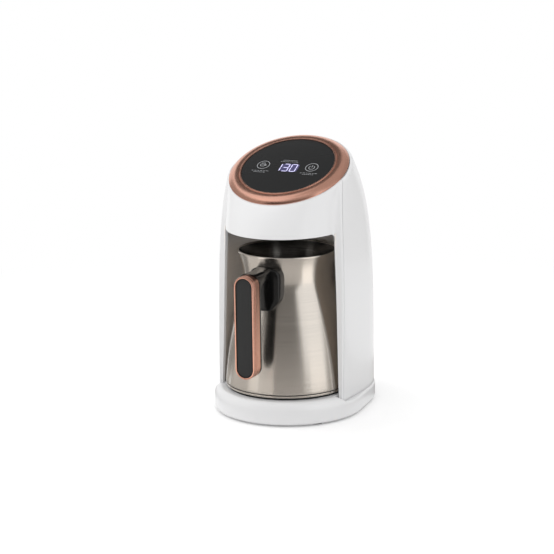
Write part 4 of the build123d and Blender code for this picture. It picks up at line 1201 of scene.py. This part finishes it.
class COFFEE_OT_jug(bpy.types.Operator):
    """Make the steel jug and the disc under its foot."""

    bl_idname = "coffee.jug"
    bl_label = "Jug"

    def execute(self, context):
        j = settings().jug
        outside, inside = jug_profile()
        steel = brushed_steel("jug_brushed", settings().finish.steel, rough=0.21, lines=170.0, depth=0.18)
        # Painted shade: the steel inside the jug is far darker than outside, for the shade in its mouth under
        # the black ceiling.
        dark = brushed_steel("jug_inside", (0.24, 0.23, 0.215), rough=0.22, lines=500.0)
        sheets = Sheets()
        for kind, run in enumerate((outside, inside)):
            sheets.add(spun(run, SPUN_COLUMNS), around=True, finish=kind)
        add_piece("jug_skin", sheets, "jug", "jug_steel", [steel, dark], ("jug_shell",))
        low, high, r = PLATE_Z, PLATE_Z + j.base_thick, j.foot_r - j.foot_inset
        inner, turn_in, soft = r - 1.5 * MM, r - 0.3 * MM, 0.25 * MM
        # Painted shade: the step under the disc and the groove over it are near black, for the shade in the
        # gap under the foot and in the groove.
        step, groove = low + j.foot_step, high - j.foot_groove
        under = np.array([(0, low), (inner, low), (inner, step), (turn_in, step)])
        edge = soft_line([(turn_in, step), (r, step), (r, groove), (turn_in, groove)], soft, 4)
        over = np.array([(turn_in, groove), (inner, groove), (inner, high), (0, high)])
        sheets = Sheets()
        for kind, run in ((1, under), (0, edge), (1, over)):
            sheets.add(spun(run, SPUN_COLUMNS), around=True, finish=kind)
        band = brushed_steel("foot_steel", settings().finish.steel, rough=0.18, lines=60.0)
        finishes = [band, plastic("foot_black", grey(0.012), rough=0.5)]
        add_piece("jug_foot", sheets, "jug", "jug_base_steel", finishes, ("jug_base",))
        return {"FINISHED"}


# ---- handle ----


def bar_rows(layers, middle_z, half_width, half_length, count=25):
    """Round-ended upright bar: each layer is an outline moved in by an inset, at a distance y. An inset of
    the half width closes the bar on its middle line. Rows must run from the back to the front."""
    turn = np.concatenate([np.linspace(0, math.pi, count), np.linspace(math.pi, 2 * math.pi, count)])
    shift = np.concatenate([np.ones(count), -np.ones(count)]) * (half_length - half_width)
    inset, y = np.asarray(layers, float).T
    radius = (half_width - inset)[:, None]
    x = radius * np.cos(turn)
    z = middle_z + shift + radius * np.sin(turn)
    return np.stack([x, np.broadcast_to(y[:, None], x.shape), z], axis=-1)


def grip_places():
    """Places that the handle's pieces share."""
    g = settings().handle
    top = RIM_Z - g.arm_drop
    back = -g.reach + g.frame_depth
    return SimpleNamespace(top=top, middle=top - g.grip_length / 2, back=back, core=back + g.core_depth)


def arm_sheet():
    """The arm, fanned round from the bracket into the grip.

    Each section spans from a lower curve, straight and then a quarter circle, to an upper one that stays
    under the arm's top. It is a rectangle with round corners, square to the line between the two.
    """
    g, at = settings().handle, grip_places()
    bite, sink, sag, corner = 2 * MM, 1.5 * MM, 0.35 * MM, 3.0 * MM
    low, root = at.top - g.arm_thick, -g.bracket_r + bite
    straight = spread(root, at.core + g.arch, 8)
    turn = np.linspace(0.0, math.pi / 2, 18)[1:]
    lower_y = np.concatenate([straight, at.core + g.arch - g.arch * np.sin(turn)])
    lower_z = np.concatenate([np.full(8, low), low - g.arch + g.arch * np.cos(turn)])
    share = np.concatenate([np.linspace(0, 0.45, 8), np.linspace(0.45, 1.0, 18)[1:]])
    upper_y = root + (at.back - sink - root) * share
    upper_z = at.top - sag * np.sin(share * math.pi)
    start, end = np.stack([lower_y, lower_z], 1), np.stack([upper_y, upper_z], 1)
    centre, reach = (start + end) / 2, np.linalg.norm(end - start, axis=1)[:, None] / 2
    rise = (end - start) / (2 * reach)
    theta = np.linspace(0, math.pi / 2, 6)
    theta = np.concatenate([theta + quarter * math.pi / 2 for quarter in range(4)])
    side_x = np.repeat([1, -1, -1, 1], 6) * (g.arm_width / 2 - corner) + corner * np.cos(theta)
    sign = np.repeat([1, 1, -1, -1], 6)
    up = sign * (reach - corner) + corner * np.sin(theta)
    place = centre[:, None, :] + up[..., None] * rise[:, None, :]
    grid = np.concatenate([np.broadcast_to(side_x, up.shape)[..., None], place], axis=-1)
    ends = [np.broadcast_to(grid[k].mean(axis=0), grid[k].shape)[None] for k in (0, -1)]
    return np.concatenate([ends[0], grid, ends[1]])


def bracket_sheet():
    """Bracket on the neck: an outline with a round top and cut lower corners, carried from the jug's wall out
    to a face that is round about the jug's axis, its front edge softened by a Bezier curve."""
    g, at = settings().handle, grip_places()
    below_arm, bite = 0.8 * MM, 0.3 * MM
    half, low, top = g.bracket_width / 2, at.top - g.bracket_height, at.top - below_arm
    right = [(half - g.chamfer, low), (half, low + 1.2 * g.chamfer), (half, top)]
    outline = right + [(-x, z) for x, z in reversed(right)]
    rounding = [2.5 * MM, 4 * MM, 7 * MM]
    line = soft_line(outline, rounding + rounding[::-1], 12, closed=True)
    middle_drop, edge_from, edge_in = 0.48, 0.70, 0.24
    centre = np.array([0.0, at.top - middle_drop * g.bracket_height])
    edge = bent((0, edge_from), (0, 1.0), (edge_in, 1.0), 8)
    layers = np.vstack([[(1.0, 0.0), (0.0, 0.0)], edge, [(0.5, 1.0), (0.8, 1.0), (1.0, 1.0)]])
    flat = centre + (line - centre) * (1 - layers[:, 0])[:, None, None]
    x, z = flat[..., 0], flat[..., 1]
    near = -np.sqrt(np.maximum((jug_radius(z) - bite) ** 2 - x**2, 0))
    far = -np.sqrt(g.bracket_r**2 - x**2)
    share = layers[:, 1][:, None]
    return np.stack([x, near + (far - near) * share, z], axis=-1)


class COFFEE_OT_handle(bpy.types.Operator):
    """Make bracket, arm, grip core, metal frame and soft insert."""

    bl_idname = "coffee.handle"
    bl_label = "Handle"

    def execute(self, context):
        g, at = settings().handle, grip_places()
        half = g.grip_width / 2
        front, inner = -g.reach, g.frame + 0.15 * MM
        seat = front + g.insert_depth

        def upright(layers, looped=False):
            rows = bar_rows(layers, at.middle, half, g.grip_length / 2)
            return Sheets().add(rows, around=True, looped=looped)

        black, pad_values = [gloss_black()], {"Grain": 2200.0, "Ripple": 0.35, "Drift": 0.08}
        sheets = Sheets().add(bracket_sheet(), around=True)
        add_piece("bracket_skin", sheets, "jug", "black_gloss", black, ("handle_bracket",), sharp=50)

        soft = 1.3 * MM
        rounding = bent((soft, at.core), (0, at.core), (0, at.core - soft), 6)
        layers = [(half, at.core), *rounding, (0, at.back), (inner, at.back), (inner, seat), (half, seat)]
        sheets = upright(layers).add(arm_sheet(), around=True)
        add_piece("grip_core", sheets, "jug", "black_gloss", black, ("handle_core",))

        side_soft, face_soft, lip_soft, bevel = 1.2 * MM, 0.85 * MM, 0.35 * MM, 0.4 * MM
        outer = bent((0, front + side_soft), (0, front), (face_soft, front), 7)
        lip = bent((g.frame - lip_soft, front), (g.frame, front), (g.frame, front + bevel), 5)
        deep, wide, lean, start = 0.35 * MM, 1.3 * MM, 0.3 * MM, front + 2.2 * MM
        groove = [(0, start + wide), (deep, start + wide - lean), (deep, start + lean), (0, start)]
        layers = [(bevel, at.back), (0, at.back - bevel), *groove, *outer, *lip, (g.frame, at.back)]
        sheets = upright(layers, looped=True)
        add_piece("grip_frame", sheets, "jug", "rose_metal", [rose_gold()], ("handle_trim",))

        drop, fold, run, shoulder_drop = 1.3 * MM, 0.35 * MM, 1.1 * MM, 0.3 * MM
        side, low_side = (inner, front + drop), (inner, front + fold)
        shoulder = bent(side, low_side, (inner + run, front + shoulder_drop), 7)
        dome = [(half - 3 * MM, front + 0.14 * MM), (half, front + 0.1 * MM)]
        under = seat - 0.05 * MM
        sheets = upright([(half, under), (inner, under), *shoulder, *dome])
        pad = plastic("soft_charcoal", settings().finish.charcoal, rough=0.55, **pad_values)
        add_piece("grip_pad", sheets, "jug", "grip_charcoal", [pad], ("grip_insert",))
        dress("handle_screw", inner_metal())
        return {"FINISHED"}


# ---- inner and lower pieces ----


def inner_metal():
    """Plated steel of screws, springs and heater parts."""
    values = {"Roughness": 0.32, "Patches": 0.15, "Drift": 0.12, "Ripple": 0.1}
    return finish("plated_steel", moulded_finish(), "Object", (0.55, 0.55, 0.54), values, {"Metallic": 1.0})


class COFFEE_OT_underside(bpy.types.Operator):
    """Finish cover, feet, screws and the cord's bushing."""

    bl_idname = "coffee.underside"
    bl_label = "Underside"

    def execute(self, context):
        dress("base_cover", plastic("cover_grey", (0.10, 0.10, 0.105), rough=0.5, Ripple=0.4, Grain=1400.0))
        dress("rubber_feet", plastic("soft_rubber", grey(0.018), rough=0.7, Ripple=0.5))
        dress("cord_gland", plastic("gland_grey", (0.05, 0.05, 0.052), rough=0.5, Ripple=0.3))
        for node in ("base_screws", "housing_screws"):
            dress(node, inner_metal())
        return {"FINISHED"}


class COFFEE_OT_inner_pieces(bpy.types.Operator):
    """Finish the heater, the electronics and what carries them."""

    bl_idname = "coffee.inner_pieces"
    bl_label = "Inner pieces"

    def execute(self, context):
        metal = (
            "heater_tray", "heating_element", "element_clamp", "plate_thermostat", "thermal_fuse",
            "touch_springs", "board_screws", "rack_screws",
        )
        for node in metal:
            dress(node, inner_metal())
        mouldings = {
            "panel_carrier": grey(0.02),
            "buzzer": grey(0.015),
            "display_module": (0.02, 0.02, 0.022),
            "board_rack": (0.25, 0.25, 0.26),
            "control_board": (0.02, 0.14, 0.05),
            "power_board": (0.02, 0.14, 0.05),
            "relay": (0.02, 0.06, 0.20),
            "filter_capacitor": (0.55, 0.40, 0.06),
            "transformer": (0.50, 0.38, 0.08),
            "terminal_block": (0.03, 0.20, 0.07),
            "panel_loom": (0.30, 0.30, 0.31),
            "heater_leads": (0.35, 0.05, 0.04),
        }
        for node, rgb in mouldings.items():
            dress(node, plastic(node + "_finish", rgb, rough=0.45, Ripple=0.15))
        return {"FINISHED"}


# ---- studio ----


# Level cards over the floor: name, inner and outer radius, left and right azimuth, and grey.
TABLE_CARDS = (
    ("near", 0.075, 0.105, -180.0, 180.0, 0.12),
    ("round", 0.105, 0.17, -45.0, 265.0, 0.52),
    ("left", 0.14, 0.60, -45.0, 0.0, 1.35),
    ("right", 0.15, 0.60, 62.0, 92.0, 1.3),
    ("far_right", 0.17, 0.60, 92.0, 135.0, 0.35),
    ("ahead", 0.17, 0.70, 0.0, 62.0, 0.56),
    ("beside", 0.17, 0.70, -125.0, -88.0, 0.22),
    ("beside_left", 0.10, 0.70, -88.0, -45.0, 0.60),
)
# Level cards overhead: name, left, right, near and far edge, height, and grey.
SKY_CARDS = (
    ("sky_card", -1.15, -0.2, 0.1, 1.2, 1.4, 0.12),
    ("sky_card_right", -0.2, 1.4, -0.6, 2.2, 1.4, 0.48),
)
# Upright cards: name, radius, left and right azimuth, low and high edge, slant, and grey.
ROUND_CARDS = (
    ("crown_card", 0.9, -60.0, -20.0, 0.75, 1.25, 0.0, 1.25),
    ("front_card", 0.7, -3.0, 56.0, 0.0, 0.7, 12.0, 0.145),
    ("grip_card", 0.68, -31.0, -2.0, 0.0, 0.7, 0.0, 0.05),
    ("front_card_high", 0.75, -3.0, 44.0, 0.0, 1.3, 0.0, 0.46),
    ("left_card", 0.7, -110.0, -33.0, 0.0, 0.7, 0.0, 0.40),
    ("right_card", 0.7, 100.0, 165.0, 0.0, 1.2, 0.0, 0.40),
)
# Lamps: name, which is that of its power in the settings too, place, and size.
LAMPS = (
    ("key", (-1.12, -0.32, 0.80), 1.0),
    ("fill", (0.30, -1.15, 0.4), 0.8),
    ("top", (0.15, -0.42, 1.25), 1.1),
    ("side", (1.1, 0.15, 0.5), 1.0),
)
LAMP_AIM = (0.0, AXIS_Y, 0.10)
FLOOR_REACH = 6.0  # the floor's half width, in metres
SENSOR_WIDTH = 36.0  # in millimetres, as Blender has it


def seen_plainly(tree):
    """Socket that is 1 where the camera, a gloss or a glass sees a surface, and 0 where it gives light."""
    path = added(tree, "LightPath").outputs
    seen = path["Is Camera Ray"]
    for label in ("Is Glossy Ray", "Is Transmission Ray"):
        seen = combined(tree, "MAXIMUM", seen, path[label])
    return seen


def floor_finish():
    """Pale floor that takes the object's shadow close by and turns plain white further out."""
    t = settings().studio
    material = plastic("floor_white", grey(0.80), rough=0.6, Drift=0.0, Ripple=0.0)
    tree = material.node_tree
    surface = tree.nodes["Principled BSDF"]
    surface.inputs["Specular IOR Level"].default_value = 0.1
    place = added(tree, "TexCoord").outputs["Object"]
    away = added(tree, "VectorMath", {0: place}, operation="LENGTH").outputs["Value"]
    inputs = {"Value": away, "From Min": t.fade_from, "From Max": t.fade_to}
    fade = added(tree, "MapRange", inputs, interpolation_type="SMOOTHSTEP").outputs["Result"]
    seen = seen_plainly(tree)
    lift = added(tree, "Emission", {"Strength": stretch(tree, seen, 0.0, t.floor_lift)}).outputs[0]
    near = added(tree, "AddShader", {0: surface.outputs[0], 1: lift}).outputs[0]
    white = added(tree, "Emission").outputs[0]
    share = combined(tree, "MULTIPLY", seen, fade)
    mix = added(tree, "MixShader", {0: share, 1: near, 2: white}).outputs[0]
    tree.links.new(mix, tree.nodes["Material Output"].inputs["Surface"])
    return material


def card_finish(name, level):
    """Plain light of a grey that is a little warm, for the cards that only glosses see."""
    material = bpy.data.materials.new(name)
    material.use_nodes = True
    tree = material.node_tree
    tree.nodes.remove(tree.nodes["Principled BSDF"])
    warm = (level * (1 + CARD_WARMTH), level, level * (1 - CARD_WARMTH), 1.0)
    glow = added(tree, "Emission", {"Color": warm}).outputs[0]
    tree.links.new(glow, tree.nodes["Material Output"].inputs["Surface"])
    return material


def stage_sheet(name, grid, material, camera=False):
    """Sheet of the studio over a grid of points, that only glosses see unless the camera may."""
    sheets = Sheets().add(np.asarray(grid, float) - np.array([0.0, AXIS_Y, 0.0]))
    mesh = sheets.mesh(name)
    mesh.materials.append(material)
    sheet = bpy.data.objects.new(name, mesh)
    bpy.context.scene.collection.objects.link(sheet)
    sheet.visible_camera = sheet.visible_shadow = sheet.visible_diffuse = camera
    sheet.visible_transmission = camera
    return sheet


def card(name, grid, level):
    """Card of a warm grey."""
    return stage_sheet(name, grid, card_finish(f"{name}_grey", level))


def arc_grid(radius, azimuth, z):
    """Grid of places about the jug's axis: x = r sin a and y = -r cos a, with a in degrees."""
    turn = np.radians(azimuth)
    x, y = radius * np.sin(turn), AXIS_Y - radius * np.cos(turn)
    return np.stack(np.broadcast_arrays(x, y, z), axis=-1)


def round_card(name, radius, left, right, low, high, slant, level):
    """Upright card round the object, from one azimuth to another. Up to half its height its right edge
    slants back to the left by an angle."""
    z = np.linspace(low, high, 9)[:, None]
    width = right - left - slant * np.minimum(2 * z / high, 1.0)
    return card(name, arc_grid(radius, left + np.linspace(0.0, 1.0, 25) * width, z), level)


def table_card(name, inner, outer, left, right, level):
    """Level card just over the floor, between two radii and two azimuths."""
    radius = np.array([[outer], [inner]])
    return card(f"table_{name}", arc_grid(radius, np.linspace(left, right, 49), CARD_LIFT), level)


def flat_grid(x0, x1, y0, y1, z):
    """Level rectangle as a grid of four points."""
    return [[(x0, y0, z), (x1, y0, z)], [(x0, y1, z), (x1, y1, z)]]


def lamp(name, place, size, watts):
    """Soft square lamp that looks at the lamps' aim. Glosses see the surroundings and the cards alone."""
    data = bpy.data.lights.new(name, "AREA")
    data.shape, data.size, data.energy = "SQUARE", size, watts
    light = bpy.data.objects.new(name, data)
    light.location = place
    light.visible_glossy = False
    light.rotation_euler = (Vector(LAMP_AIM) - Vector(place)).to_track_quat("-Z", "Y").to_euler()
    bpy.context.scene.collection.objects.link(light)
    return light


def white_world(strength):
    """White surroundings: full white where the camera, a gloss or a glass sees them, softer as light."""
    world = bpy.data.worlds.new("Studio")
    world.use_nodes = True
    tree = world.node_tree
    back = tree.nodes["Background"].inputs
    back["Color"].default_value = (1.0, 1.0, 1.0, 1.0)
    tree.links.new(stretch(tree, seen_plainly(tree), strength, 1.0), back["Strength"])
    bpy.context.scene.world = world


def studio_camera(t):
    """Camera that looks from a distance at the aim, turned by its swing, height and roll."""
    data = bpy.data.cameras.new("camera")
    data.lens, data.sensor_width, data.clip_end = t.focal, SENSOR_WIDTH, 50.0
    camera = bpy.data.objects.new("camera", data)
    swing, roll = (Matrix.Rotation(turn, 4, "Z") for turn in (t.swing, t.roll))
    pitch = Matrix.Rotation(math.pi / 2 - t.height, 4, "X")
    aim = Vector((0.0, AXIS_Y, t.aim_z)) + swing @ Vector((t.aim_side, 0.0, 0.0))
    away = Matrix.Translation((0.0, 0.0, t.distance))
    camera.matrix_world = Matrix.Translation(aim) @ swing @ pitch @ roll @ away
    return camera


class COFFEE_OT_studio(bpy.types.Operator):
    """Make floor, cards, lamps, surroundings and camera."""

    bl_idname = "coffee.studio"
    bl_label = "Studio"

    def execute(self, context):
        t = settings().studio
        scene = context.scene
        scene.view_settings.view_transform = "Standard"
        white_world(t.world)
        floor = flat_grid(-FLOOR_REACH, FLOOR_REACH, -FLOOR_REACH, FLOOR_REACH, 0.0)
        stage_sheet("floor", floor, floor_finish(), camera=True)
        for row in TABLE_CARDS:
            table_card(*row)
        for name, *bounds, level in SKY_CARDS:
            card(name, flat_grid(*bounds), level)
        for row in ROUND_CARDS:
            round_card(*row)
        for name, place, size in LAMPS:
            lamp(name, place, size, getattr(t, name))
        camera = studio_camera(t)
        scene.collection.objects.link(camera)
        scene.camera = camera
        return {"FINISHED"}


# ---- add-on ----

OPERATORS = (
    COFFEE_OT_studio,
    COFFEE_OT_front_frame,
    COFFEE_OT_rear_housing,
    COFFEE_OT_base,
    COFFEE_OT_bezel,
    COFFEE_OT_panel,
    COFFEE_OT_marks,
    COFFEE_OT_bay,
    COFFEE_OT_jug,
    COFFEE_OT_handle,
    COFFEE_OT_underside,
    COFFEE_OT_inner_pieces,
)


class COFFEE_PT_maker(bpy.types.Panel):
    """Lists the pieces and the studio."""

    bl_label = "Coffee maker"
    bl_idname = "COFFEE_PT_maker"
    bl_space_type = "VIEW_3D"
    bl_region_type = "UI"
    bl_category = "Coffee maker"

    def draw(self, context):
        for operator in OPERATORS:
            self.layout.operator(operator.bl_idname)
        for key, group in GROUPS.items():
            box = self.layout.box()
            box.label(text=group.__doc__.strip("."))
            for label in group.__annotations__:
                box.prop(getattr(context.scene, key), label)


def register():
    for group in GROUPS.values():
        bpy.utils.register_class(group)
    for key, group in GROUPS.items():
        setattr(bpy.types.Scene, key, bpy.props.PointerProperty(type=group))
    for operator in OPERATORS:
        bpy.utils.register_class(operator)
    bpy.utils.register_class(COFFEE_PT_maker)


def unregister():
    bpy.utils.unregister_class(COFFEE_PT_maker)
    for operator in reversed(OPERATORS):
        bpy.utils.unregister_class(operator)
    for key, group in GROUPS.items():
        delattr(bpy.types.Scene, key)
        bpy.utils.unregister_class(group)


def main():
    register()
    for operator in OPERATORS:
        group, action = operator.bl_idname.split(".")
        getattr(getattr(bpy.ops, group), action)()


if __name__ == "__main__":
    main()
